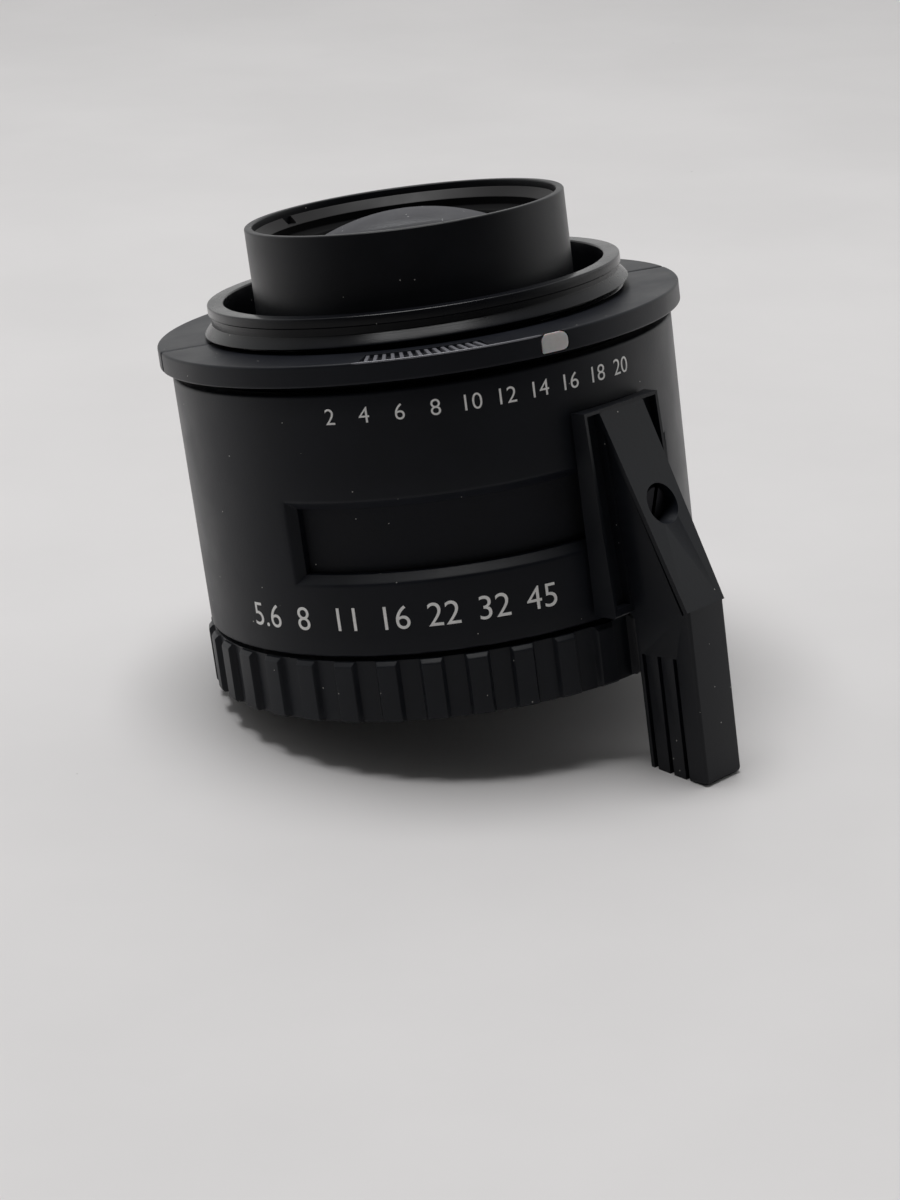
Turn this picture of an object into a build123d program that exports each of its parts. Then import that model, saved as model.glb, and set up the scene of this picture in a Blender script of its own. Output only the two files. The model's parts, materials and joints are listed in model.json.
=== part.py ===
from build123d import *
import math
import os

# Enlarger lens: a fixed metal core and moulded barrel with a screw mount at the rear,
# a fluted aperture ring at the front, an iris of five blades and a preset lever.
# Frame: +Z along the optical axis towards the rear (the mount side). The origin is on
# the axis, in the plane of the flange seat. Azimuths are in degrees from the front
# (-Y), positive towards +X. Sizes are in millimetres.

# ---- fits ----
FIT = 0.05           # running or screwed fit, per side
GAP = 0.3            # free gap between curved faces of parts that move past each other
THIN = 0.1           # axial play

# ---- mount collar and flange ----
THREAD_R = 19.5      # crest radius of the 39 mm screw mount
THREAD_ROOT_R = 18.9
THREAD_PITCH = 0.977
CREST_FLAT = 0.16
CREST_Z = 0.53       # lowest crest above the seat
COLLAR_BORE_R = 17.4
COLLAR_TOP = 3.05
RELIEF_R = 18.2      # groove under the thread that holds the two flange halves
RELIEF_TOP = 0.06
FOOT_R = 21.0
FOOT_BOTTOM = -2.9
FLANGE_R = 23.9
FLANGE_BOTTOM = -1.91
FLANGE_EDGE = 0.25
SPLIT_AZ = 103.0     # azimuth of the seam between the flange halves
SEAM = 0.1
GUIDE_AZ = 13.4      # half angle of the serrated light guide
GUIDE_R = (21.3, 23.72)
GUIDE_DEPTH = 0.6
GUIDE_TEETH = 14
WINDOW_AZ = 27.8
WINDOW_SIZE = (2.6, 1.55)
WINDOW_DEPTH = 1.2

# ---- barrel shell ----
SHELL_R_TOP = 22.92
SHELL_R_BOTTOM = 22.78
SHELL_BORE_R = 21.4
SHELL_TOP = -2.77
SHELL_BOTTOM = -26.1
SLOT_AZ = (-34.8, 61.0)
SLOT_Z = (-19.0, -12.5)
SLOT_BEVEL = 0.55

# ---- core (housing) ----
CORE_R = 18.6
CORE_BORE_R = 15.2
CORE_FLANGE_T = 2.1
LOWER_FLANGE_T = 2.6
CORE_BOTTOM = SHELL_BOTTOM - 1.75
LEDGE_TOP = -17.2
LEDGE_T = 1.2
LEDGE_R = CORE_BORE_R - 4.8

# ---- iris ----
BLADES = 5
BLADE_T = 0.12
BLADE_STEP = 0.25
BLADE_LOW = -16.25
IRIS_OPEN_R = 7.8
BLADE_R = (IRIS_OPEN_R, CORE_BORE_R - 2.9)
BLADE_SPAN = 105.0
PIVOT_R = CORE_BORE_R - 1.6
PIN_R = 0.3
STUD_R = PIVOT_R - 0.7   # radius of the drive stud's place with the iris open
STUD_AZ = -11.0          # its azimuth behind the blade's own pivot
BLADE_TURN = 29.2        # turn of a blade over the ring's whole travel
RING_TRAVEL = 66.0       # six stops of 11 degrees
DRIVE_Z = (-14.9, -13.1)
DRIVE_BORE_R = CORE_BORE_R - 3.3

# ---- aperture ring ----
RING_R = 23.2
RING_GROOVE_R = 22.62
RING_TOP = SHELL_BOTTOM - 0.4
RING_BOTTOM = RING_TOP - 5.6
RING_BORE_R = 21.2
RING_WEB_T = 1.1
RING_RIBS = 36
STOPS = 6
DIMPLE = 0.15
RIB_AZ = -7.1        # azimuth of one rib's middle
RIB_CHAMFER = 0.4

# ---- front cell ----
FRONT_R = 20.9
FILTER_R = 20.0
FILTER_DEPTH = 2.4
FRONT_BOTTOM = RING_BOTTOM + 0.1

# ---- lever ----
LEVER_AZ = 42.0
LEVER_Z = -16.1      # height of the screw, a little under the slot's middle
CARRIER_R = (19.7, 21.35)
BLOCK_HALF = 4.65
LEDGE_HALF = 2.65
STRAP_TOP_HALF = 2.75
STRAP_END_HALF = 2.42
GRIP_HALF = 2.3
POST_HALF = 2.5
SCREW_HEAD_R = 1.5
SCREW_R = 0.8
SCREW_PLAY = 0.02     # screws and pins that are tight in their holes
COUPLING_R = 0.5
SCREW_HOLE_R = SCREW_HEAD_R + 0.22

# ---- rear tube ----
TUBE_R = CORE_BORE_R - 0.63
TUBE_RIM_R = TUBE_R - 0.72
TUBE_TOP = 9.4
TUBE_BOTTOM = -12.3

os.makedirs("parts", exist_ok=True)


def radial_plane(azimuth):
    """The plane through the axis at an azimuth: x is the radius, y the height."""
    turn = math.radians(azimuth - 90)
    outward = (math.cos(turn), math.sin(turn), 0)
    return Plane(origin=(0, 0, 0), x_dir=outward, z_dir=(math.sin(turn), -math.cos(turn), 0))


def outline(*points, azimuth=90):
    """A closed face of (radius, height) points in the radial plane of an azimuth."""
    with BuildSketch(radial_plane(azimuth)) as face:
        with BuildLine():
            Polyline(*points, close=True)
        make_face()
    return face.sketch


def band(inner, outer, low, high, azimuth=90):
    """A rectangle between two radii and two heights, ready to be turned."""
    return outline((inner, low), (outer, low), (outer, high), (inner, high), azimuth=azimuth)


def turned(face, span=360):
    """Revolve a face about the lens axis in the open part."""
    revolve(face, axis=Axis.Z, revolution_arc=span)


def turned_cut(face, span=360):
    """Cut a revolved face from the open part."""
    revolve(face, axis=Axis.Z, revolution_arc=span, mode=Mode.SUBTRACT)


def facing_plane(azimuth, radius, height=0.0):
    """A plane that faces outward at an azimuth: x runs round the lens, y is the height."""
    turn = math.radians(azimuth - 90)
    outward = (math.cos(turn), math.sin(turn), 0)
    sideways = (-math.sin(turn), math.cos(turn), 0)
    return Plane(origin=at(azimuth, radius, height), x_dir=sideways, z_dir=outward)


def at(azimuth, radius, height=0.0):
    """The point at an azimuth, a radius and a height."""
    turn = math.radians(azimuth - 90)
    return (radius * math.cos(turn), radius * math.sin(turn), height)


def lens_face(radius, rear, front, rear_sag, front_sag):
    """Half section of a lens element: a sag is how far a surface bulges towards the rear."""
    with BuildSketch(radial_plane(90)) as face:
        with BuildLine():
            Line((0, front + front_sag), (0, rear + rear_sag))
            sphere_arc(radius, rear, rear_sag)
            Line((radius, rear), (radius, front))
            sphere_arc(radius, front, front_sag)
        make_face()
    return face.sketch


def sphere_arc(radius, rim, sag):
    """The arc from the axis to the rim of a spherical surface."""
    if sag == 0:
        return Line((0, rim), (radius, rim))
    curve = (radius ** 2 + sag ** 2) / (2 * abs(sag))
    side = math.copysign(1, sag)
    middle = radius / 2
    height = rim + sag - side * (curve - math.sqrt(curve ** 2 - middle ** 2))
    return ThreePointArc((0, rim + sag), (middle, height), (radius, rim))


def save(part, label):
    """Label a finished piece and write it."""
    part.part.label = label
    export_step(part.part, f"parts/{label}.step")


# ---- barrel shell: moulded, a little tapered, with the lever's bevelled slot ----
SLOT_SPAN = SLOT_AZ[1] - SLOT_AZ[0]
BEVEL_R = SHELL_R_BOTTOM - SLOT_BEVEL
BEVEL_OUT = SHELL_R_TOP + SLOT_BEVEL
BEVEL_AZ = math.degrees(SLOT_BEVEL / SHELL_R_TOP)
slot_low, slot_high = SLOT_Z

with BuildPart() as barrel_shell:
    turned(outline(
        (SHELL_BORE_R, SHELL_BOTTOM), (SHELL_R_BOTTOM - 0.2, SHELL_BOTTOM),
        (SHELL_R_BOTTOM, SHELL_BOTTOM + 0.2), (SHELL_R_TOP, SHELL_TOP - 0.3),
        (SHELL_R_TOP - 0.3, SHELL_TOP), (SHELL_BORE_R, SHELL_TOP),
    ))
    turned_cut(band(SHELL_BORE_R - 1, SHELL_R_TOP + 1, slot_low, slot_high, azimuth=SLOT_AZ[0]), SLOT_SPAN)
    turned_cut(outline(
        (BEVEL_R, slot_low), (BEVEL_OUT, slot_low - 2 * SLOT_BEVEL),
        (BEVEL_OUT, slot_high + 2 * SLOT_BEVEL), (BEVEL_R, slot_high), azimuth=SLOT_AZ[0],
    ), SLOT_SPAN)
    for end, side in ((SLOT_AZ[0], -1), (SLOT_AZ[1], 1)):
        foot = at(end, BEVEL_R)
        lip = at(end + side * 2 * BEVEL_AZ, BEVEL_OUT)
        back = at(end - side * 2 * BEVEL_AZ, BEVEL_OUT)
        with BuildSketch(Plane.XY.offset(slot_low)):
            with BuildLine():
                Polyline(foot[:2], lip[:2], back[:2], close=True)
            make_face()
        extrude(amount=slot_high - slot_low, mode=Mode.SUBTRACT)
save(barrel_shell, "barrel_shell")


# ---- core: the metal tube that everything is built on ----
COLLAR_SCREWS = 3
COLLAR_SCREW_R = 19.6
TIP_R = 0.55
core_top = FOOT_BOTTOM
upper_flange = core_top - CORE_FLANGE_T
lower_flange = SHELL_BOTTOM
lower_flange_top = lower_flange + LOWER_FLANGE_T
KEY_R = (18.7, 19.35)
KEY_AZ = 200.0
KEY_HALF = 7.0
KEY_PLAY = 1.5
DRIVE_MID = sum(DRIVE_Z) / 2
COUPLING_IN = CORE_BORE_R - 1.4   # inner end of the coupling screw, outside the nearest cam slot
CLICK_R = 20.1
CLICK_AZ = 120.0
BALL_R = 0.5
CLICK_DEPTH = 2.3

with BuildPart() as core:
    turned(outline(
        (CORE_BORE_R, core_top), (CORE_BORE_R, LEDGE_TOP), (LEDGE_R, LEDGE_TOP),
        (LEDGE_R, LEDGE_TOP - LEDGE_T), (CORE_BORE_R, LEDGE_TOP - LEDGE_T),
        (CORE_BORE_R, CORE_BOTTOM), (CORE_R, CORE_BOTTOM), (CORE_R, lower_flange),
        (SHELL_BORE_R - FIT, lower_flange), (SHELL_BORE_R - FIT, lower_flange_top),
        (CORE_R, lower_flange_top), (CORE_R, upper_flange),
        (SHELL_BORE_R - FIT, upper_flange), (SHELL_BORE_R - FIT, core_top),
    ))
    key_start = KEY_AZ - KEY_HALF - KEY_PLAY
    key_span = RING_TRAVEL + 2 * (KEY_HALF + KEY_PLAY)
    key_way = band(CORE_R, KEY_R[1] + GAP, lower_flange - 1, lower_flange_top + 1, azimuth=key_start)
    turned_cut(key_way, key_span)
    slot_half = math.degrees((COUPLING_R + GAP) / CORE_BORE_R)
    turned_cut(band(
        CORE_BORE_R - 1, CORE_R + 1, DRIVE_MID - COUPLING_R - GAP, DRIVE_MID + COUPLING_R + GAP,
        azimuth=KEY_AZ - slot_half,
    ), RING_TRAVEL + 2 * slot_half)
    with Locations((0, 0, core_top)):
        with PolarLocations(COLLAR_SCREW_R, COLLAR_SCREWS, start_angle=0):
            Hole(radius=TIP_R + FIT, depth=CORE_FLANGE_T)
    with Locations(at(CLICK_AZ, CLICK_R, lower_flange)):
        Cylinder(BALL_R + FIT, 2 * CLICK_DEPTH, mode=Mode.SUBTRACT)
save(core, "core")


# ---- mount collar: crests stand as rings here, because a mount's wall is read round ----
CREST_RISE = THREAD_R - THREAD_ROOT_R
CREST_HALF = CREST_FLAT / 2 + CREST_RISE * math.tan(math.radians(30))

with BuildPart() as mount_collar:
    turned(outline(
        (COLLAR_BORE_R, FOOT_BOTTOM), (FOOT_R, FOOT_BOTTOM), (FOOT_R, FLANGE_BOTTOM - FIT),
        (RELIEF_R, FLANGE_BOTTOM - FIT), (RELIEF_R, RELIEF_TOP),
        (THREAD_ROOT_R, RELIEF_TOP), (THREAD_ROOT_R, COLLAR_TOP - 0.15),
        (THREAD_ROOT_R - 0.15, COLLAR_TOP), (COLLAR_BORE_R + 0.1, COLLAR_TOP),
        (COLLAR_BORE_R, COLLAR_TOP - 0.1),
    ))
    for crest in (CREST_Z, CREST_Z + THREAD_PITCH):
        turned(outline(
            (THREAD_ROOT_R - FIT, crest - CREST_HALF), (THREAD_ROOT_R, crest - CREST_HALF),
            (THREAD_R, crest - CREST_FLAT / 2), (THREAD_R, crest + CREST_FLAT / 2),
            (THREAD_ROOT_R, crest + CREST_HALF), (THREAD_ROOT_R - FIT, crest + CREST_HALF),
        ))
    with Locations((0, 0, FLANGE_BOTTOM - FIT)):
        with PolarLocations(COLLAR_SCREW_R, COLLAR_SCREWS, start_angle=0):
            CounterSinkHole(radius=TIP_R + FIT, counter_sink_radius=TIP_R * 2 + FIT,
                            depth=FLANGE_BOTTOM - FOOT_BOTTOM, counter_sink_angle=90)
save(mount_collar, "mount_collar")

with BuildPart() as collar_screws:
    with BuildSketch(Plane.XY.offset(upper_flange + 0.2)):
        with PolarLocations(COLLAR_SCREW_R, COLLAR_SCREWS, start_angle=0):
            Circle(TIP_R)
    extrude(amount=FLANGE_BOTTOM - FIT - 0.02 - TIP_R - upper_flange - 0.2)
    with BuildSketch(Plane.XY.offset(FLANGE_BOTTOM - FIT - 0.02 - TIP_R)):
        with PolarLocations(COLLAR_SCREW_R, COLLAR_SCREWS, start_angle=0):
            Circle(TIP_R)
    extrude(amount=TIP_R, taper=-45)
save(collar_screws, "collar_screws")


# ---- flange: two half rings that meet under the thread, with a light guide and index window ----
def half_flange(start):
    """One half of the flange ring, from an azimuth through half a turn less the seam."""
    seam = math.degrees(SEAM / FLANGE_R)
    turned(outline(
        (RELIEF_R + FIT, FLANGE_BOTTOM), (FLANGE_R - FLANGE_EDGE, FLANGE_BOTTOM),
        (FLANGE_R, FLANGE_BOTTOM + FLANGE_EDGE), (FLANGE_R, -FLANGE_EDGE),
        (FLANGE_R - FLANGE_EDGE, 0), (RELIEF_R + FIT, 0), azimuth=start + seam / 2,
    ), 180 - seam)


guide_inner, guide_outer = GUIDE_R
window_width, window_height = WINDOW_SIZE
window_plane = facing_plane(WINDOW_AZ, FLANGE_R - WINDOW_DEPTH, FLANGE_BOTTOM / 2)

with BuildPart() as flange_front:
    half_flange(SPLIT_AZ - 180)
    turned_cut(band(guide_inner, guide_outer, -GUIDE_DEPTH, 1, azimuth=-GUIDE_AZ), 2 * GUIDE_AZ)
    with BuildSketch(window_plane):
        Rectangle(window_width, window_height)
        fillet(vertices(), radius=window_height * 0.3)
    extrude(amount=2 * WINDOW_DEPTH, mode=Mode.SUBTRACT)
save(flange_front, "flange_half_front")

with BuildPart() as flange_rear:
    half_flange(SPLIT_AZ)
save(flange_rear, "flange_half_rear")

TOOTH = 2 * (GUIDE_AZ - 0.3) / (2 * GUIDE_TEETH - 1)
with BuildPart() as light_guide:
    turned(band(guide_inner + FIT, guide_outer - FIT, -GUIDE_DEPTH + 0.02, -0.22,
                azimuth=-GUIDE_AZ + 0.15), 2 * GUIDE_AZ - 0.3)
    for tooth in range(GUIDE_TEETH):
        turned(band(guide_inner + FIT, guide_outer - FIT, -0.25, 0,
                    azimuth=-GUIDE_AZ + 0.3 + 2 * tooth * TOOTH), TOOTH)
save(light_guide, "light_guide")

with BuildPart() as index_window:
    with BuildSketch(window_plane):
        Rectangle(window_width - 2 * FIT, window_height - 2 * FIT)
        fillet(vertices(), radius=window_height * 0.3 - FIT)
    extrude(amount=2 * WINDOW_DEPTH)
    with BuildSketch(Plane.XY.offset(FLANGE_BOTTOM - 1)):
        Circle(FLANGE_R)
    extrude(amount=4, mode=Mode.INTERSECT)
save(index_window, "index_window")


# ---- rear tube and its glass ----
REAR_SEAT_W = 3.45   # step between the retaining ring's bore and the rear glass
REAR_GLASS_R = TUBE_RIM_R - REAR_SEAT_W
REAR_SEAT = 4.3      # height of the seat under the rear element
REAR_EDGE_T = 1.75
REAR_SAG = 3.25
REAR_CLEAR_R = REAR_GLASS_R - 0.7
REAR_RING_R = TUBE_RIM_R      # bore that takes the rear retaining ring
REAR_RING_TOP = TUBE_TOP - 0.55
REAR_MOUTH = 0.9     # depth of the retaining ring's conical mouth
REAR_CLAMP_T = 1.0   # thickness of its inner flange, which holds the glass
CEMENT = 0.02        # gap left between a glass and its seat or its partner
INNER_GLASS_R = REAR_GLASS_R - 1.2
DOUBLET_SEAT = -7.2
TUBE_SCREW_TOP = -3.2

with BuildPart() as rear_tube:
    turned(outline(
        (TUBE_RIM_R, TUBE_TOP), (TUBE_R - 0.12, TUBE_TOP), (TUBE_R, TUBE_TOP - 0.12),
        (TUBE_R, TUBE_SCREW_TOP), (CORE_BORE_R - FIT, TUBE_SCREW_TOP),
        (CORE_BORE_R - FIT, TUBE_BOTTOM), (INNER_GLASS_R - 1, TUBE_BOTTOM),
        (INNER_GLASS_R - 1, DOUBLET_SEAT), (INNER_GLASS_R + FIT, DOUBLET_SEAT),
        (INNER_GLASS_R + FIT, REAR_SEAT - 1.2), (REAR_GLASS_R - 1.1, REAR_SEAT - 1.2),
        (REAR_GLASS_R - 1.1, REAR_SEAT), (REAR_GLASS_R + FIT, REAR_SEAT),
        (REAR_GLASS_R + FIT, REAR_SEAT + REAR_EDGE_T), (REAR_RING_R, REAR_SEAT + REAR_EDGE_T),
    ))
save(rear_tube, "rear_tube")

NOTCHES = 2
NOTCH_L = 2.4
NOTCH_W = 1.1
NOTCH_DEPTH = 0.8
REAR_NOTCH_TURN = 143
with BuildPart() as rear_retainer:
    rear_ring_low = REAR_SEAT + REAR_EDGE_T + FIT
    rear_ring_out = REAR_RING_R - FIT
    turned(outline(
        (REAR_CLEAR_R, rear_ring_low + 0.57), (REAR_GLASS_R, rear_ring_low + 0.07),
        (rear_ring_out, rear_ring_low), (rear_ring_out, REAR_RING_TOP),
        (rear_ring_out - REAR_MOUTH, REAR_RING_TOP - REAR_MOUTH),
        (rear_ring_out - REAR_MOUTH, rear_ring_low + REAR_CLAMP_T),
        (REAR_CLEAR_R + 0.2, rear_ring_low + REAR_CLAMP_T), (REAR_CLEAR_R, rear_ring_low + REAR_CLAMP_T - 0.2),
    ))
    with BuildSketch(Plane.XY.offset(REAR_RING_TOP)):
        with PolarLocations(rear_ring_out, NOTCHES, start_angle=REAR_NOTCH_TURN):
            Rectangle(NOTCH_L, NOTCH_W)
    extrude(amount=-NOTCH_DEPTH, mode=Mode.SUBTRACT)
save(rear_retainer, "rear_retaining_ring")

with BuildPart() as rear_element:
    turned(lens_face(REAR_GLASS_R, REAR_SEAT + REAR_EDGE_T, REAR_SEAT + CEMENT, REAR_SAG, 0.5))
save(rear_element, "rear_element")

DOUBLET_T = (2.2, 3.4)
with BuildPart() as rear_inner_crown:
    turned(lens_face(INNER_GLASS_R, DOUBLET_SEAT + sum(DOUBLET_T) + CEMENT,
                     DOUBLET_SEAT + DOUBLET_T[0] + CEMENT, 1.6, -0.4))
save(rear_inner_crown, "rear_inner_crown")

with BuildPart() as rear_inner_flint:
    turned(lens_face(INNER_GLASS_R, DOUBLET_SEAT + DOUBLET_T[0], DOUBLET_SEAT, -0.4, 1.4))
save(rear_inner_flint, "rear_inner_flint")

REAR_SPACER_LOW = DOUBLET_SEAT + sum(DOUBLET_T) + 0.1
with BuildPart() as rear_spacer:
    turned(outline(
        (INNER_GLASS_R - 1.3, REAR_SPACER_LOW + 0.5), (INNER_GLASS_R - 0.5, REAR_SPACER_LOW),
        (INNER_GLASS_R - FIT, REAR_SPACER_LOW), (INNER_GLASS_R - FIT, REAR_SEAT - 1.25),
        (INNER_GLASS_R - 0.7, REAR_SEAT - 1.25),
    ))
save(rear_spacer, "rear_spacer")


# ---- iris: base plate, blades, drive ring and the ring that keeps them in ----
with BuildPart() as iris_base:
    turned(band(IRIS_OPEN_R + 0.6, CORE_BORE_R - FIT, LEDGE_TOP + 0.02, BLADE_LOW - BLADE_STEP + BLADE_T))
    with PolarLocations(PIVOT_R, BLADES, start_angle=-90):
        Hole(radius=PIN_R + FIT)
save(iris_base, "iris_base_plate")

EAR_R = 0.55
for blade in range(BLADES):
    azimuth = 360 / BLADES * blade
    low = BLADE_LOW + blade * BLADE_STEP
    with BuildPart() as iris_blade:
        turned(band(*BLADE_R, low, low + BLADE_T, azimuth=azimuth), BLADE_SPAN)
        with BuildSketch(Plane.XY.offset(low)):
            pivot = at(azimuth, PIVOT_R)[:2]
            stud = at(azimuth + STUD_AZ, STUD_R)[:2]
            root = at(azimuth + 5, BLADE_R[1] - 1)[:2]
            with Locations(pivot, stud, root):
                Circle(EAR_R)
            make_hull()
        extrude(amount=BLADE_T)
        with BuildSketch(Plane.XY.offset(LEDGE_TOP + 0.1)):
            with Locations(pivot):
                Circle(PIN_R)
        extrude(amount=low - LEDGE_TOP - 0.1)
        with BuildSketch(Plane.XY.offset(low + BLADE_T)):
            with Locations(stud):
                Circle(PIN_R)
        extrude(amount=DRIVE_Z[1] - 0.1 - low - BLADE_T)
    save(iris_blade, f"iris_blade_{blade + 1}")


CAM_STEPS = 8
CAM_HALF = PIN_R + FIT


def stud_in_ring(turn, out=0.0):
    """Place of blade 1's drive stud, seen from the drive ring, after a share of the travel."""
    swing = math.radians(BLADE_TURN * turn)
    pivot_x, pivot_y, _ = at(0, PIVOT_R)
    stud_x, stud_y, _ = at(STUD_AZ, STUD_R)
    arm_x = stud_x - pivot_x
    arm_y = stud_y - pivot_y
    x = pivot_x + arm_x * math.cos(swing) - arm_y * math.sin(swing)
    y = pivot_y + arm_x * math.sin(swing) + arm_y * math.cos(swing)
    back = math.radians(-RING_TRAVEL * turn)
    stretch = 1 + out / math.hypot(x, y)
    return ((x * math.cos(back) - y * math.sin(back)) * stretch,
            (x * math.sin(back) + y * math.cos(back)) * stretch)


with BuildPart() as iris_drive:
    turned(band(DRIVE_BORE_R, CORE_BORE_R - FIT, *DRIVE_Z))
    with BuildSketch(Plane.XY.offset(DRIVE_Z[0])) as cam:
        with BuildLine():
            outer = Spline(*[stud_in_ring(step / CAM_STEPS, CAM_HALF) for step in range(CAM_STEPS + 1)])
            inner = Spline(*[stud_in_ring(step / CAM_STEPS, -CAM_HALF) for step in range(CAM_STEPS + 1)])
            Line(outer @ 0, inner @ 0)
            Line(outer @ 1, inner @ 1)
        make_face()
        with Locations(stud_in_ring(0), stud_in_ring(1)):
            Circle(CAM_HALF)
    for blade in range(BLADES):
        extrude(cam.sketch.rotate(Axis.Z, 360 / BLADES * blade), amount=DRIVE_Z[1] - DRIVE_Z[0],
                mode=Mode.SUBTRACT)
    with BuildSketch(facing_plane(KEY_AZ, COUPLING_IN - FIT, DRIVE_MID)):
        Circle(COUPLING_R + SCREW_PLAY)
    extrude(amount=CORE_BORE_R - COUPLING_IN + FIT, mode=Mode.SUBTRACT)
save(iris_drive, "iris_drive_ring")

RETAINER_Z = (DRIVE_Z[1] + THIN, TUBE_BOTTOM - THIN)
with BuildPart() as iris_retainer:
    turned(band(DRIVE_BORE_R - 1, CORE_BORE_R - FIT, *RETAINER_Z))
save(iris_retainer, "iris_retaining_ring")


# ---- front cell and its glass ----
FRONT_TOP = LEDGE_TOP - LEDGE_T - THIN
FLARE_TOP = CORE_BOTTOM - FIT
FRONT_WALL = 2.0             # the tube's wall round the front retaining ring
FRONT_RING_R = CORE_BORE_R - FRONT_WALL
FRONT_GLASS_R = FRONT_RING_R - 1.6
FRONT_INNER_R = FRONT_GLASS_R - 2.0
FRONT_SEAT = FRONT_TOP - 0.9
FRONT_DOUBLET_T = (2.4, 1.8)
FRONT_EDGE_T = 1.6
FRONT_SAG = -1.9
FRONT_SURFACE_SAG = -0.6
BAFFLE_R = 18.6
BAFFLE_RISE = 0.9
FRONT_RING_T = 1.3
front_doublet_low = FRONT_SEAT - sum(FRONT_DOUBLET_T) - 0.04
front_element_high = -25.9
front_element_low = front_element_high - FRONT_EDGE_T
filter_floor = FRONT_BOTTOM + FILTER_DEPTH

with BuildPart() as front_tube:
    turned(outline(
        (FRONT_INNER_R - 1, FRONT_TOP), (CORE_BORE_R - FIT, FRONT_TOP), (CORE_BORE_R - FIT, FLARE_TOP),
        (FRONT_R, FLARE_TOP), (FRONT_R, FRONT_BOTTOM + 0.2), (FRONT_R - 0.2, FRONT_BOTTOM),
        (FILTER_R, FRONT_BOTTOM), (FILTER_R, filter_floor), (BAFFLE_R, filter_floor),
        (FRONT_RING_R, filter_floor + BAFFLE_RISE), (FRONT_RING_R, front_element_low),
        (FRONT_GLASS_R + FIT, front_element_low), (FRONT_GLASS_R + FIT, front_element_high + CEMENT),
        (FRONT_INNER_R + FIT, front_element_high + CEMENT), (FRONT_INNER_R + FIT, FRONT_SEAT),
        (FRONT_INNER_R - 1, FRONT_SEAT),
    ))
save(front_tube, "front_tube")

with BuildPart() as front_inner_flint:
    turned(lens_face(FRONT_INNER_R, FRONT_SEAT - CEMENT, FRONT_SEAT - FRONT_DOUBLET_T[1], -1.2, 0.4))
save(front_inner_flint, "front_inner_flint")

with BuildPart() as front_inner_crown:
    turned(lens_face(FRONT_INNER_R, FRONT_SEAT - FRONT_DOUBLET_T[1] - CEMENT, front_doublet_low, 0.4, -1.5))
save(front_inner_crown, "front_inner_crown")

with BuildPart() as front_spacer:
    turned(outline(
        (FRONT_INNER_R - 0.6, front_element_high + 0.05), (FRONT_INNER_R - FIT, front_element_high + 0.05),
        (FRONT_INNER_R - FIT, front_doublet_low - 0.04), (FRONT_INNER_R - 0.6, front_doublet_low - 0.25),
    ))
save(front_spacer, "front_spacer")

with BuildPart() as front_element:
    turned(lens_face(FRONT_GLASS_R, front_element_high, front_element_low + CEMENT,
                     FRONT_SURFACE_SAG, FRONT_SAG))
save(front_element, "front_element")

with BuildPart() as front_retainer:
    front_ring_low = front_element_low - FRONT_RING_T
    turned(outline(
        (FRONT_GLASS_R - 0.9, front_element_low - 0.55), (FRONT_GLASS_R - 0.9, front_ring_low + 0.2),
        (FRONT_GLASS_R - 0.4, front_ring_low), (FRONT_RING_R - FIT, front_ring_low),
        (FRONT_RING_R - FIT, front_element_low - CEMENT), (FRONT_GLASS_R - 0.2, front_element_low - CEMENT),
    ))
    with BuildSketch(Plane.XY.offset(front_ring_low)):
        with PolarLocations((FRONT_GLASS_R + FRONT_RING_R) / 2, NOTCHES, start_angle=20):
            Rectangle(NOTCH_L, NOTCH_W)
    extrude(amount=FRONT_RING_T / 2, mode=Mode.SUBTRACT)
save(front_retainer, "front_retaining_ring")


# ---- aperture ring: fluted outside, a web inside that turns on the core ----
rib_pitch = 360 / RING_RIBS
RIB_ROOT_SHARE = 0.56
RIB_TOP_SHARE = 0.42
web_low = RING_TOP - RING_WEB_T

with BuildPart() as aperture_ring:
    turned(outline(
        (CORE_R + FIT, web_low), (RING_BORE_R, web_low), (RING_BORE_R, RING_BOTTOM),
        (RING_GROOVE_R, RING_BOTTOM), (RING_GROOVE_R, RING_TOP), (CORE_R + FIT, RING_TOP),
    ))
    with BuildSketch(Plane.XY.offset(RING_BOTTOM)):
        with BuildLine():
            Polyline(*[
                at(share * rib_pitch / 2, radius)[:2]
                for share, radius in (
                    (-RIB_ROOT_SHARE, RING_GROOVE_R - 0.1), (-RIB_TOP_SHARE, RING_R),
                    (RIB_TOP_SHARE, RING_R), (RIB_ROOT_SHARE, RING_GROOVE_R - 0.1),
                )
            ], close=True)
        make_face()
    rib = extrude(amount=RING_TOP - RING_BOTTOM, mode=Mode.PRIVATE)
    with PolarLocations(0, RING_RIBS, start_angle=RIB_AZ):
        add(rib)
    turned_cut(outline(
        (RING_R - RIB_CHAMFER, RING_TOP + 1), (RING_R - RIB_CHAMFER, RING_TOP),
        (RING_R, RING_TOP - RIB_CHAMFER), (RING_R + 1, RING_TOP - RIB_CHAMFER), (RING_R + 1, RING_TOP + 1),
    ))
    turned_cut(outline(
        (RING_R - 0.3, RING_BOTTOM - 1), (RING_R - 0.3, RING_BOTTOM), (RING_R, RING_BOTTOM + 0.3),
        (RING_R + 1, RING_BOTTOM + 0.3), (RING_R + 1, RING_BOTTOM - 1),
    ))
    with Locations(*[at(CLICK_AZ - stop * RING_TRAVEL / STOPS, CLICK_R, RING_TOP + BALL_R - DIMPLE)
                     for stop in range(STOPS + 1)]):
        Sphere(BALL_R, mode=Mode.SUBTRACT)
    notch_half = KEY_HALF + 0.2
    turned_cut(band(CORE_R - 1, KEY_R[1] + FIT, web_low + 0.3, RING_TOP + 1, azimuth=KEY_AZ - notch_half),
               2 * notch_half)
save(aperture_ring, "aperture_ring")

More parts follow.
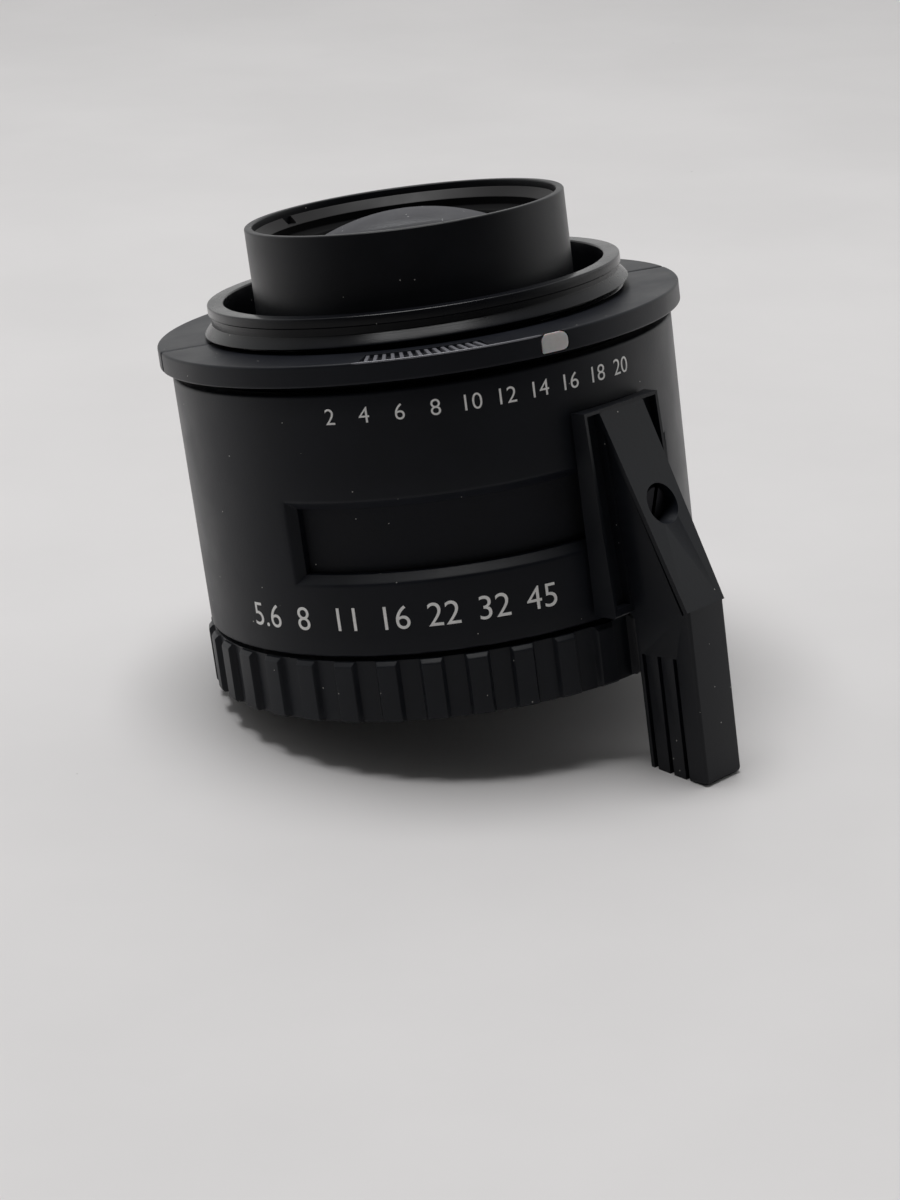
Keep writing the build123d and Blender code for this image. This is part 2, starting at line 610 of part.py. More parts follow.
WASHER_GAP = 4.0
with BuildPart() as ring_washer:
    turned(band(KEY_R[1] + GAP, 20.9, RING_TOP + 0.06, lower_flange - 0.06, azimuth=CLICK_AZ + WASHER_GAP),
           360 - 2 * WASHER_GAP)
save(ring_washer, "ring_washer")

with BuildPart() as coupling_key:
    turned(band(*KEY_R, web_low + 0.35, DRIVE_MID + 1.6, azimuth=KEY_AZ - KEY_HALF), 2 * KEY_HALF)
    with BuildSketch(facing_plane(KEY_AZ, KEY_R[0] - 1, DRIVE_MID)):
        Circle(COUPLING_R + SCREW_PLAY)
    extrude(amount=2, mode=Mode.SUBTRACT)
save(coupling_key, "coupling_key")

with BuildPart() as coupling_screw:
    with BuildSketch(facing_plane(KEY_AZ, COUPLING_IN, DRIVE_MID)):
        Circle(COUPLING_R)
    extrude(amount=KEY_R[1] - SCREW_PLAY - COUPLING_IN)
save(coupling_screw, "coupling_screw")


# ---- click stop: a sprung ball in the core that drops into dimples on the ring ----
SPRING_R = 0.34
SPRING_WIRE = 0.09
SPRING_TURNS = 5
ball_top = RING_TOP + 2 * BALL_R + SCREW_PLAY
spring_height = lower_flange + CLICK_DEPTH - ball_top - 2 * SPRING_WIRE - 2 * SCREW_PLAY

with BuildPart() as click_ball:
    with Locations(at(CLICK_AZ, CLICK_R, ball_top - BALL_R)):
        Sphere(BALL_R)
save(click_ball, "click_ball")

with BuildPart() as click_spring:
    spring_foot = at(CLICK_AZ, CLICK_R, ball_top + SPRING_WIRE + SCREW_PLAY)
    with BuildLine() as coil:
        Helix(pitch=spring_height / SPRING_TURNS, height=spring_height, radius=SPRING_R, center=spring_foot)
    with BuildSketch(Plane(origin=coil.line @ 0, z_dir=coil.line % 0)):
        Circle(SPRING_WIRE)
    sweep()
save(click_spring, "click_spring")


# ---- lever: a carrier ring behind the slot, and a moulded lever screwed to it ----
with BuildPart() as lever_carrier:
    turned(band(*CARRIER_R, lower_flange_top + THIN, upper_flange - THIN))
    with BuildSketch(facing_plane(LEVER_AZ, CARRIER_R[0] - 1, LEVER_Z)):
        Circle(SCREW_R + SCREW_PLAY)
    extrude(amount=CARRIER_R[1] - CARRIER_R[0] + 2, mode=Mode.SUBTRACT)
save(lever_carrier, "lever_carrier")

LEVER_TOP = -7.4
BLOCK_BOTTOM = -25.5
BLOCK_OUT = (24.3, 25.3)     # radius of the block's outer face at its top and bottom
CHANNEL_DEPTH = 0.85
RIDGE = 0.3                  # rim left round the channels, wider at the bottom
BOTTOM_RIDGE = 0.8
BEND = (RING_R + 8.4, -24.9)
STRAP_TOP = (24.15, LEVER_TOP)
STRAP_T = 0.45
UNDERCUT = 0.35              # groove under the strap's overhanging edges
GRIP_IN = RING_R + 2.0
GRIP_BOTTOM = -40.7
GRIP_ROUND = 0.5
GRIP_EDGE = 0.3
GROOVE_R = (25.8, 27.6, 29.4)
GROOVE_TOP = -29.3
GROOVE_W = 0.45
GROOVE_DEPTH = 0.4
WEB_STEP = 0.6
HEAD_FLOOR_R = 24.6
SCREW_HEAD_T = 2.3
SCREW_SLOT_W = 0.42
SCREW_SLOT_TURN = 69         # angle of the screw's slot from the horizontal
POST_HEIGHT = 5.4
lever_plane = radial_plane(LEVER_AZ)
lever_axis = Axis((0, 0, LEVER_Z), lever_plane.x_dir)
lever_out = lever_plane.x_dir
back_r = SHELL_R_TOP + GAP
strap_length = math.dist(STRAP_TOP, BEND)
strap_down = ((BEND[0] - STRAP_TOP[0]) / strap_length, (BEND[1] - STRAP_TOP[1]) / strap_length)
strap_normal = lever_out * -strap_down[1] + Vector(0, 0, 1) * strap_down[0]
strap_plane = Plane(origin=at(LEVER_AZ, *STRAP_TOP), x_dir=-lever_plane.z_dir, z_dir=strap_normal)


def under_strap(point, depth):
    """The point at a depth under a point of the strap's outer face, as (radius, height)."""
    return (point[0] + strap_down[1] * depth, point[1] - strap_down[0] * depth)


def lever_outline(*points):
    """A closed face of (radius, height) points in the lever's middle plane."""
    with BuildSketch(lever_plane) as face:
        with BuildLine():
            Polyline(*points, close=True)
        make_face()
    return face.sketch


with BuildPart() as web:
    extrude(lever_outline(
        (back_r, LEVER_TOP), under_strap(STRAP_TOP, STRAP_T), under_strap(BEND, STRAP_T), BEND,
        (BEND[0], GRIP_BOTTOM), (GRIP_IN, GRIP_BOTTOM), (GRIP_IN, BLOCK_BOTTOM - WEB_STEP),
        (BLOCK_OUT[1] - CHANNEL_DEPTH, BLOCK_BOTTOM), (back_r, BLOCK_BOTTOM),
    ), amount=GRIP_HALF, both=True)
    fillet(web.faces().sort_by(Axis.Z)[0].edges(), radius=GRIP_ROUND)
    front_edges = web.edges().filter_by(Axis.Z).sort_by(lever_axis)[-2:]
    fillet(front_edges, radius=GRIP_EDGE)
    undercut = lever_outline(
        under_strap(STRAP_TOP, STRAP_T), under_strap(BEND, STRAP_T),
        under_strap(BEND, STRAP_T + UNDERCUT), under_strap(STRAP_TOP, STRAP_T + UNDERCUT),
    )
    for side in (-1, 1):
        groove = undercut.moved(Location(lever_plane.z_dir * side * (GRIP_HALF - UNDERCUT)))
        extrude(groove, amount=side * 2 * UNDERCUT, mode=Mode.SUBTRACT)
    with BuildSketch(Plane.XY.offset(GROOVE_TOP)):
        for radius in GROOVE_R:
            for side in (-1, 1):
                foot_x, foot_y, _ = at(LEVER_AZ, radius)
                shift = lever_plane.z_dir * side * GRIP_HALF
                with Locations((foot_x - shift.X, foot_y - shift.Y)):
                    Rectangle(GROOVE_W, 2 * GROOVE_DEPTH, rotation=LEVER_AZ - 90)
    extrude(amount=GRIP_BOTTOM - GROOVE_TOP, mode=Mode.SUBTRACT)

with BuildPart() as lever:
    extrude(lever_outline(
        (SHELL_BORE_R, BLOCK_BOTTOM), (BLOCK_OUT[1] - 0.2, BLOCK_BOTTOM),
        (BLOCK_OUT[1], BLOCK_BOTTOM + 0.2), (BLOCK_OUT[0], LEVER_TOP), (SHELL_BORE_R, LEVER_TOP),
    ), amount=BLOCK_HALF, both=True)
    channel = lever_outline(
        (BLOCK_OUT[0] - CHANNEL_DEPTH, LEVER_TOP - RIDGE), (BEND[0], LEVER_TOP - RIDGE),
        (BEND[0], BLOCK_BOTTOM + BOTTOM_RIDGE),
        (BLOCK_OUT[1] - CHANNEL_DEPTH, BLOCK_BOTTOM + BOTTOM_RIDGE),
    )
    for side in (-1, 1):
        foot = channel.moved(Location(lever_plane.z_dir * side * LEDGE_HALF))
        extrude(foot, amount=side * (BLOCK_HALF - RIDGE - LEDGE_HALF), mode=Mode.SUBTRACT)
    with BuildSketch(Plane.XY.offset(BLOCK_BOTTOM - 1)):
        Circle(back_r)
    extrude(amount=LEVER_TOP - BLOCK_BOTTOM + 2, mode=Mode.SUBTRACT)
    add(web.part)
    with BuildSketch(strap_plane):
        with BuildLine():
            Polyline(
                (-STRAP_TOP_HALF, 0), (STRAP_TOP_HALF, 0), (STRAP_END_HALF, -strap_length),
                (-STRAP_END_HALF, -strap_length), close=True,
            )
        make_face()
    extrude(amount=-STRAP_T)
    with BuildSketch(Plane.XY.offset(LEVER_Z - POST_HEIGHT / 2)):
        with Locations(at(LEVER_AZ, (SHELL_BORE_R + back_r) / 2)[:2]):
            Rectangle(back_r - SHELL_BORE_R + 2, 2 * POST_HALF, rotation=LEVER_AZ - 90)
    extrude(amount=POST_HEIGHT)
    with BuildSketch(Plane.XY.offset(LEVER_Z - POST_HEIGHT)):
        Circle(CARRIER_R[1] + SCREW_PLAY)
    extrude(amount=2 * POST_HEIGHT, mode=Mode.SUBTRACT)
    with BuildSketch(facing_plane(LEVER_AZ, HEAD_FLOOR_R, LEVER_Z)):
        Circle(SCREW_HOLE_R)
    extrude(amount=BEND[0] - HEAD_FLOOR_R, mode=Mode.SUBTRACT)
    with BuildSketch(facing_plane(LEVER_AZ, CARRIER_R[0], LEVER_Z)):
        Circle(SCREW_R + FIT)
    extrude(amount=HEAD_FLOOR_R - CARRIER_R[0] + 1, mode=Mode.SUBTRACT)
save(lever, "lever")

with BuildPart() as lever_screw:
    with BuildSketch(facing_plane(LEVER_AZ, CARRIER_R[0] + SCREW_PLAY, LEVER_Z)):
        Circle(SCREW_R)
    extrude(amount=HEAD_FLOOR_R - CARRIER_R[0])
    with BuildSketch(facing_plane(LEVER_AZ, HEAD_FLOOR_R + SCREW_PLAY, LEVER_Z)):
        Circle(SCREW_HEAD_R)
    extrude(amount=SCREW_HEAD_T)
    chamfer(faces().sort_by(lever_axis)[-1].edges(), length=0.2)
    with BuildSketch(facing_plane(LEVER_AZ, HEAD_FLOOR_R + SCREW_PLAY + SCREW_HEAD_T, LEVER_Z)):
        Rectangle(3 * SCREW_HEAD_R, SCREW_SLOT_W, rotation=SCREW_SLOT_TURN)
    extrude(amount=-SCREW_HEAD_T / 2, mode=Mode.SUBTRACT)
save(lever_screw, "lever_screw")
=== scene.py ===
"""Enlarger lens: the visible surfaces, finishes and stage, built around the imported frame.

Lengths in the shape functions are in millimetres and become metres in place(). The frame has +Z along
the optical axis towards the rear mount, and azimuths run in degrees from the front (-Y) towards +X.
"""

import json
import math

import bmesh
import bpy
import numpy as np
from bpy.props import FloatProperty, FloatVectorProperty, IntProperty, PointerProperty
from mathutils import Matrix, Vector


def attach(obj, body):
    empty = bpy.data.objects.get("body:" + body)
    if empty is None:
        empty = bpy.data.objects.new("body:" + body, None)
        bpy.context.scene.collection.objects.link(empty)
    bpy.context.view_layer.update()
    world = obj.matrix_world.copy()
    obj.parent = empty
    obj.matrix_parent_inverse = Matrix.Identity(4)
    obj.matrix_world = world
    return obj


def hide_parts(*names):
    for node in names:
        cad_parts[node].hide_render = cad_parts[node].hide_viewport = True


bl_info = {
    "name": "Enlarger Lens",
    "version": (1, 0, 0),
    "blender": (4, 5, 0),
    "location": "View3D > Sidebar > Lens",
    "description": "Builds the surfaces, finishes and stage of an enlarger lens around its frame",
    "category": "Add Mesh",
}

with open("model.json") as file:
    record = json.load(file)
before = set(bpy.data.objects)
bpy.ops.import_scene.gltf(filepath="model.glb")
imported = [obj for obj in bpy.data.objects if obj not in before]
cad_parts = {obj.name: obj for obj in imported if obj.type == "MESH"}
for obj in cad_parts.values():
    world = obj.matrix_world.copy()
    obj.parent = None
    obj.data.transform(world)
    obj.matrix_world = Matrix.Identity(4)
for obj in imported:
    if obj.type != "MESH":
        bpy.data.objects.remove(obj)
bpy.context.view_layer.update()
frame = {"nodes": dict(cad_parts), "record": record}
MM = 0.001
ROUND = np.linspace(0, 360, 320, endpoint=False)

# Colours that are part of a finish rather than a choice: dust on black, and what lies on the glass.
DUST = "#aeaca8"
GLASS_FILM = "#69696c"
GLASS_DUST = "#b3b3b5"
GLASS_TINT = "#cbced1"
SKY = "#e7e7e6"

# Places on the lens that its pieces share: azimuths in degrees, heights in millimetres.
SLOT_HEIGHTS = (-18.86, -12.95)
SLOT_AZIMUTHS = (-34.8, 61.0)
SPLIT_AZIMUTH = 103.0
GUIDE_HALF = 13.4
WINDOW_AZIMUTH = 27.8
RIB_AZIMUTH = -7.1
GUIDE_RADII = (20.95, 23.7)
GUIDE_MIDDLE = 22.4
WINDOW_HEIGHT = -0.87
WINDOW_HALF = (1.3, 0.8)
BARREL_TAPER = 0.14
FAR = 99.0
# Gap round a glass or ring in its seat, and the small rounding of edges that are hidden.
PLAY = 0.05
HIDDEN = 0.02
LEVER_AZIMUTH = 42.0
NOTCH_AZIMUTHS = (-127, 53)


def linear(code):
    """An sRGB hex colour as linear values: c / 12.92 up to 0.04045, else ((c + 0.055) / 1.055) ** 2.4."""
    parts = np.array([int(code[i:i + 2], 16) for i in (1, 3, 5)]) / 255
    curve = ((parts + 0.055) / 1.055) ** 2.4
    return tuple(float(c) for c in np.where(parts <= 0.04045, parts / 12.92, curve))


def span(node):
    """Inner radius, outer radius, lowest and highest height of a CAD node, in millimetres."""
    mesh = frame["nodes"][node].data
    points = np.empty(3 * len(mesh.vertices))
    mesh.vertices.foreach_get("co", points)
    points = points.reshape(-1, 3) / MM
    radius = np.hypot(points[:, 0], points[:, 1])
    return radius.min(), radius.max(), points[:, 2].min(), points[:, 2].max()


# ---------------------------------------------------------------- sizes and colours that a user would change

def length(name, description, millimetres):
    """A length property whose default is given in millimetres."""
    return FloatProperty(name=name, description=description, default=millimetres * MM, min=0.0,
                         precision=5, subtype="DISTANCE", unit="LENGTH")


def colour(name, description, code):
    """A colour property whose default is an sRGB hex value."""
    return FloatVectorProperty(name=name, description=description, default=linear(code),
                               min=0.0, max=1.0, size=3, subtype="COLOR")


class LensSizes(bpy.types.PropertyGroup):
    """Small sizes of the visible surfaces."""
    edge: length("Edge rounding", "Radius on the machined edges", 0.1)
    moulded_edge: length("Moulded edge", "Radius on the edges of the moulded parts", 0.18)
    slot_bevel: length("Slot bevel", "Width of the bevel round the lever's slot", 0.7)
    thread_pitch: length("Thread pitch", "Rise of the rear screw thread in one turn", 0.977)
    filter_pitch: length("Filter thread pitch", "Rise of the front filter thread in one turn", 0.5)
    rib_chamfer: length("Rib chamfer", "Chamfer on the upper ends of the ring's ribs", 0.4)
    ribs: IntProperty(name="Ribs", description="Number of ribs round the aperture ring", default=36, min=12)
    small_numeral: length("Upper numerals", "Height of the numerals of the upper scale", 1.45)
    large_numeral: length("Lower numerals", "Height of the numerals of the aperture scale", 2.2)


class LensColours(bpy.types.PropertyGroup):
    """Colours of the finishes."""
    moulded: colour("Moulded plastic", "Black glass-filled plastic of the barrel and flange", "#101218")
    ring: colour("Ring plastic", "Black plastic of the aperture ring", "#17191e")
    lever: colour("Lever plastic", "Black plastic of the preset lever", "#111318")
    anodised: colour("Anodised aluminium", "Black dyed oxide on the tube and collar", "#0d0e12")
    retainer: colour("Retaining ring", "Worn black oxide on the rear retaining ring", "#181718")
    matte: colour("Matte black", "Painted black of the band behind the slot", "#191a1e")
    # Painted shade: this darker black stands in for the shade deep inside the rear retaining ring.
    well: colour("Well", "Dull black inside the rear retaining ring", "#060607")
    ink: colour("Scale ink", "White ink of the numerals", "#f2f1ef")
    window: colour("Index window", "White translucent plastic of the index window", "#c6c5c5")
    guide: colour("Light guide", "Smoky plastic of the serrated light guide", "#27272b")
    guide_highlight: colour("Light guide teeth", "Frosted plastic of the guide's teeth and edge", "#717177")
    # Painted highlight: the pale colour of the guide's teeth and edge stands in for their glints.
    blade: colour("Blade steel", "Blackened spring steel of the iris", "#2a2a2d")
    brass: colour("Blackened brass", "Chemically blackened brass of the retaining rings", "#242322")
    steel: colour("Bright steel", "Bright steel of the spring and ball", "#b9b8b5")
    floor: colour("Floor", "Pale sheet that the lens stands on", "#dedcdc")


# ---------------------------------------------------------------- shapes

def place(azimuth, radius, height):
    """Points at an azimuth, radius and height: (r sin a, -r cos a, z), in metres."""
    turn = np.radians(azimuth)
    return MM * np.stack(np.broadcast_arrays(radius * np.sin(turn), -radius * np.cos(turn), height), axis=-1)


def degrees(distance, radius):
    """The angle that a distance covers round a circle."""
    return np.degrees(distance / radius)


def arc(angle, radius):
    """The distance that an angle in degrees covers round a circle."""
    return np.radians(angle) * radius


def rounded(corners, steps=3):
    """A closed outline of (radius, height, rounding) rows whose corners become arcs.

    Each corner P keeps t = rounding / tan(half angle) of its two sides, at most 0.49 of either, and is
    the rational quadratic curve through those two points with P weighted by sin(half angle): a circle's arc.
    The outline is turned so that its outer side runs upwards.
    """
    rows = np.array(corners, dtype=float)
    corner, rounding = rows[:, :2], rows[:, 2]
    back, ahead = np.roll(corner, 1, axis=0) - corner, np.roll(corner, -1, axis=0) - corner
    back_length, ahead_length = np.linalg.norm(back, axis=1), np.linalg.norm(ahead, axis=1)
    back, ahead = back / back_length[:, None], ahead / ahead_length[:, None]
    half = np.arccos(np.clip((back * ahead).sum(axis=1), -1, 1)) / 2
    keep = np.minimum(rounding / np.tan(np.maximum(half, 0.01)), 0.49 * np.minimum(back_length, ahead_length))
    t = np.linspace(0, 1, steps + 1)[None, :, None]
    start, end = (corner + keep[:, None] * back)[:, None], (corner + keep[:, None] * ahead)[:, None]
    middle = 2 * np.sin(half)[:, None, None] * t * (1 - t)
    curve = (1 - t) ** 2 * start + middle * corner[:, None] + t ** 2 * end
    curve = (curve / ((1 - t) ** 2 + middle + t ** 2)).reshape(-1, 2)
    curve = curve[np.linalg.norm(curve - np.roll(curve, 1, axis=0), axis=1) > 1e-5]
    turn = np.roll(curve, -1, axis=0)
    area = (curve[:, 0] * turn[:, 1] - turn[:, 0] * curve[:, 1]).sum()
    return curve if area > 0 else curve[::-1]


def divided(profile, low, high, step, least=0.0):
    """The profile with its sides between two heights, and past a least radius, cut no longer than step."""
    ahead = np.roll(profile, -1, axis=0)
    inside = (np.minimum(profile[:, 1], ahead[:, 1]) < high) & (np.maximum(profile[:, 1], ahead[:, 1]) > low)
    inside &= np.minimum(profile[:, 0], ahead[:, 0]) > least
    parts = np.where(inside, np.ceil(np.linalg.norm(ahead - profile, axis=1) / step), 1).astype(int)
    owner = np.repeat(np.arange(len(profile)), parts)
    first = np.repeat(np.cumsum(parts) - parts, parts)
    share = (np.arange(len(owner)) - first) / parts[owner]
    return profile[owner] + share[:, None] * (ahead - profile)[owner]


def quads(rows, columns, wrap_rows=True, wrap_columns=True):
    """Faces of a grid as (row, column, 4) point numbers, closed round its rows and columns where asked."""
    index = np.arange(rows * columns).reshape(rows, columns)
    if wrap_rows:
        index = np.vstack([index, index[:1]])
    if wrap_columns:
        index = np.hstack([index, index[:, :1]])
    return np.stack([index[:-1, :-1], index[1:, :-1], index[1:, 1:], index[:-1, 1:]], axis=-1)


def ease(x):
    """Smooth step: 3x^2 - 2x^3 on x held between 0 and 1."""
    x = np.clip(x, 0, 1)
    return x * x * (3 - 2 * x)


def soft_min(a, b, blend):
    """The lower of two values with a rounded change: mean less half of sqrt(difference^2 + blend^2)."""
    return (a + b - np.sqrt((a - b) ** 2 + blend ** 2)) / 2


def piece(name, patches, material, node=None, body=None, sharp=35):
    """One object from patches of (points, faces). Points are merged where patches meet.

    It rides on its CAD node's body and stands in place of that node, which is hidden, unless told otherwise.
    """
    points, faces, start = [], [], 0
    for patch_points, patch_faces in patches:
        flat = np.asarray(patch_points).reshape(-1, 3)
        points.append(flat)
        faces += [[start + corner for corner in face] for face in patch_faces]
        start += len(flat)
    mesh = bpy.data.meshes.new(name)
    mesh.from_pydata(np.concatenate(points), [], faces)
    clean(mesh, 2e-7, sharp)
    mesh.materials.append(material)
    thing = put(name, mesh)
    settle(thing, node, body)
    return thing


def clean(mesh, merge, sharp, flat=None):
    """Merge points nearer than merge metres and shade smooth, keeping edges past sharp degrees sharp.

    Edges that turn less than flat degrees go where flat is given, and faces without area elsewhere.
    """
    work = bmesh.new()
    work.from_mesh(mesh)
    bmesh.ops.remove_doubles(work, verts=work.verts, dist=merge)
    if flat:
        bmesh.ops.dissolve_limit(work, angle_limit=math.radians(flat), verts=work.verts, edges=work.edges)
    else:
        bmesh.ops.dissolve_degenerate(work, edges=work.edges, dist=1e-8)
    work.to_mesh(mesh)
    work.free()
    mesh.shade_smooth()
    mesh.set_sharp_from_angle(angle=math.radians(sharp))


def put(name, data):
    """A new object for a mesh, text, lamp or camera, linked to the scene."""
    thing = bpy.data.objects.new(name, data)
    bpy.context.scene.collection.objects.link(thing)
    return thing


def settle(thing, node=None, body=None):
    """Put a finished piece on its body, the one that holds its CAD node if one is given, and hide that node."""
    if node:
        body = next(name for name, nodes in frame["record"]["behaviour"]["bodies"].items() if node in nodes)
        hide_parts(node)
    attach(thing, body)


def faces_of(grid):
    """A grid's faces as lists of point numbers."""
    return grid.reshape(-1, 4).tolist()


def grid_patch(points, **wraps):
    """A grid of points with its faces, as a patch for piece()."""
    return points, faces_of(quads(*points.shape[:2], **wraps))


def lathe(profile, **wraps):
    """A profile carried round the axis."""
    return grid_patch(place(ROUND[:, None], profile[None, :, 0], profile[None, :, 1]), **wraps)


def sector(points):
    """A closed profile carried over part of a turn, with flat ends."""
    rows, columns = points.shape[:2]
    points, faces = grid_patch(points, wrap_rows=False)
    faces.append(list(range(columns)))
    faces.append(list(range((rows - 1) * columns, rows * columns))[::-1])
    return points, faces


def lens_profile(radius, rear, front, rear_sag, front_sag, steps=22):
    """Half section of a lens element, from the axis at the front round the rim to the axis at the rear.

    Each surface is a sphere's cap: height = rim + sag - side * (R - sqrt(R^2 - r^2)), where
    R = (r0^2 + sag^2) / 2 |sag|.
    """
    share = np.sin(np.linspace(0, np.pi / 2, steps))
    r = radius * share

    def cap(rim, sag):
        curve = (radius ** 2 + sag ** 2) / (2 * abs(sag))
        return rim + sag - math.copysign(1, sag) * (curve - np.sqrt(curve ** 2 - r ** 2))
    front_line = np.stack([r, cap(front, front_sag)], axis=-1)
    rear_line = np.stack([r, cap(rear, rear_sag)], axis=-1)[::-1]
    return np.concatenate([front_line, rear_line])


# ---------------------------------------------------------------- materials

def add(tree, kind, inputs=None, **settings):
    """One node with its settings and its inputs."""
    node = tree.nodes.new(kind)
    for key, value in settings.items():
        setattr(node, key, value)
    feed(tree, node, inputs or {})
    return node


def feed(tree, node, inputs):
    """Give a node's inputs a value each, or a link from a socket or from another node's first output."""
    for socket, value in inputs.items():
        if isinstance(value, bpy.types.Node):
            value = value.outputs[0]
        if isinstance(value, bpy.types.NodeSocket):
            tree.links.new(value, node.inputs[socket])
        else:
            node.inputs[socket].default_value = value


def blank(name):
    """A new material with a Principled shader, and the point on the object that its patterns read."""
    material = bpy.data.materials.new(name)
    material.use_nodes = True
    tree = material.node_tree
    tree.nodes.clear()
    shader = add(tree, "ShaderNodeBsdfPrincipled")
    add(tree, "ShaderNodeOutputMaterial", {"Surface": shader.outputs["BSDF"]})
    point = add(tree, "ShaderNodeTexCoord").outputs["Object"]
    return material, tree, shader, point


def surface(tree, shader):
    """Make a shader the material's own in place of the first one."""
    feed(tree, next(n for n in tree.nodes if n.type == "OUTPUT_MATERIAL"), {"Surface": shader})


def speck(tree, point, cell, size, share):
    """Dust: 1 inside small round specks. A cell of the size given holds one at its middle if it is drawn."""
    cells = add(tree, "ShaderNodeTexVoronoi", {"Vector": point, "Scale": 1 / (cell * MM)})
    near = add(tree, "ShaderNodeMath", {0: cells.outputs["Distance"], 1: size / cell}, operation="LESS_THAN")
    drawn = add(tree, "ShaderNodeSeparateColor", {"Color": cells.outputs["Color"]})
    chosen = add(tree, "ShaderNodeMath", {0: drawn.outputs["Red"], 1: share}, operation="LESS_THAN")
    return add(tree, "ShaderNodeMath", {0: near, 1: chosen}, operation="MULTIPLY")


def rgba(code):
    """An sRGB hex colour as a socket's four linear values."""
    return (*linear(code), 1.0)


def black_finish(name, base, rough, grain, depth, dust=0.3, lines=None, specular=0.5):
    """A black surface: colour and roughness drift over 7 mm, and a bump of grain millimetres.

    lines is a height step in millimetres for turning marks round the axis, as a bump of the same depth.
    dust is the share of the 1.3 mm cells that hold a light speck.
    """
    material, tree, shader, point = blank(name)
    drift = add(tree, "ShaderNodeTexNoise", {"Vector": point, "Scale": 1 / (7 * MM), "Detail": 5.0,
                                             "Roughness": 0.6})
    fine = add(tree, "ShaderNodeTexNoise", {"Vector": point, "Scale": 1 / (grain * MM), "Detail": 2.0})
    tone = add(tree, "ShaderNodeMapRange", {"Value": drift, "From Min": 0.3, "From Max": 0.7,
                                            "To Min": 1.0, "To Max": 1.5})
    tinted = add(tree, "ShaderNodeVectorMath", {0: tuple(base), "Scale": tone}, operation="SCALE")
    specks = speck(tree, point, 1.3, 0.06, dust)
    mixed = add(tree, "ShaderNodeMix", {"Factor": specks, "A": tinted, "B": rgba(DUST)},
                data_type="RGBA")
    gloss = add(tree, "ShaderNodeMapRange", {"Value": drift, "From Min": 0.3, "From Max": 0.7,
                                             "To Min": rough[0], "To Max": rough[1]})
    dull = add(tree, "ShaderNodeMath", {0: specks, 1: 0.5, 2: gloss}, operation="MULTIPLY_ADD")
    height = fine
    if lines:
        across = add(tree, "ShaderNodeMapping", {
            "Vector": point, "Scale": (1 / (40 * MM), 1 / (40 * MM), 1 / (lines * MM))})
        marks = add(tree, "ShaderNodeTexNoise", {"Vector": across, "Scale": 1.0, "Detail": 2.0})
        height = add(tree, "ShaderNodeMath", {0: fine, 1: 0.35, 2: marks}, operation="MULTIPLY_ADD")
    bump = add(tree, "ShaderNodeBump", {"Height": height, "Distance": depth * MM, "Strength": 1.0})
    feed(tree, shader, {"Base Color": mixed.outputs["Result"], "Roughness": dull, "Normal": bump,
                        "Specular IOR Level": specular})
    return material


def metal_finish(name, base, rough, grain, depth):
    """A metal surface: roughness drifts over 2 mm and a bump of grain millimetres scatters its highlights."""
    material, tree, shader, point = blank(name)
    drift = add(tree, "ShaderNodeTexNoise", {"Vector": point, "Scale": 1 / (2 * MM), "Detail": 4.0})
    fine = add(tree, "ShaderNodeTexNoise", {"Vector": point, "Scale": 1 / (grain * MM), "Detail": 2.0})
    tone = add(tree, "ShaderNodeMapRange", {"Value": drift, "To Min": 0.8, "To Max": 1.2})
    tinted = add(tree, "ShaderNodeVectorMath", {0: tuple(base), "Scale": tone}, operation="SCALE")
    gloss = add(tree, "ShaderNodeMapRange", {"Value": drift, "To Min": rough[0],
                                             "To Max": rough[1]})
    bump = add(tree, "ShaderNodeBump", {"Height": fine, "Distance": depth * MM})
    feed(tree, shader, {"Base Color": tinted, "Roughness": gloss, "Normal": bump, "Metallic": 1.0})
    return material


def glass_finish(name, haze):
    """Coated optical glass with dust: clear, with specks and a grey film that thickens at a grazing look."""
    material, tree, shader, point = blank(name)
    film = add(tree, "ShaderNodeTexNoise", {"Vector": point, "Scale": 1 / (3 * MM), "Detail": 6.0,
                                            "Roughness": 0.7})
    veil = add(tree, "ShaderNodeMapRange", {"Value": film, "From Min": 0.3, "From Max": 0.75,
                                            "To Min": haze * 0.5, "To Max": haze * 1.6})
    specks = speck(tree, point, 0.75, 0.085, 0.45)
    facing = add(tree, "ShaderNodeLayerWeight", {"Blend": 0.5}).outputs["Facing"]
    grazing = add(tree, "ShaderNodeMapRange", {"Value": facing, "From Min": 0.35, "From Max": 0.72,
                                               "To Min": 0.0, "To Max": 0.88},
                  interpolation_type="SMOOTHSTEP")
    layer = add(tree, "ShaderNodeMath", {0: veil, 1: grazing}, operation="ADD")
    cover = add(tree, "ShaderNodeMath", {0: specks, 1: 0.55, 2: layer}, operation="MULTIPLY_ADD",
                use_clamp=True)
    shade = add(tree, "ShaderNodeMix", {"Factor": specks, "A": rgba(GLASS_FILM), "B": rgba(GLASS_DUST)},
                data_type="RGBA")
    feed(tree, shader, {"Base Color": rgba(GLASS_TINT), "Roughness": 0.04, "IOR": 1.5,
                        "Specular IOR Level": 0.3, "Transmission Weight": 1.0})
    dust = add(tree, "ShaderNodeBsdfDiffuse", {"Color": shade.outputs["Result"], "Roughness": 1.0})
    both = add(tree, "ShaderNodeMixShader", {0: cover, 1: shader, 2: dust})
    surface(tree, both)
    return material


def pale_finish(name, base, rough, light=0.0):
    """A light plastic or ink: faint blotches over half a millimetre, and a fine grain in the bump."""
    material, tree, shader, point = blank(name)
    blotch = add(tree, "ShaderNodeTexNoise", {"Vector": point, "Scale": 1 / (0.5 * MM), "Detail": 3.0})
    tone = add(tree, "ShaderNodeMapRange", {"Value": blotch, "To Min": 0.85, "To Max": 1.1})
    tinted = add(tree, "ShaderNodeVectorMath", {0: tuple(base), "Scale": tone}, operation="SCALE")
    bump = add(tree, "ShaderNodeBump", {"Height": blotch, "Distance": 0.004 * MM})
    feed(tree, shader, {"Base Color": tinted, "Normal": bump, "Roughness": rough, "Subsurface Weight": light,
                        "Subsurface Scale": 0.4 * MM})
    return material


MATERIALS = {}


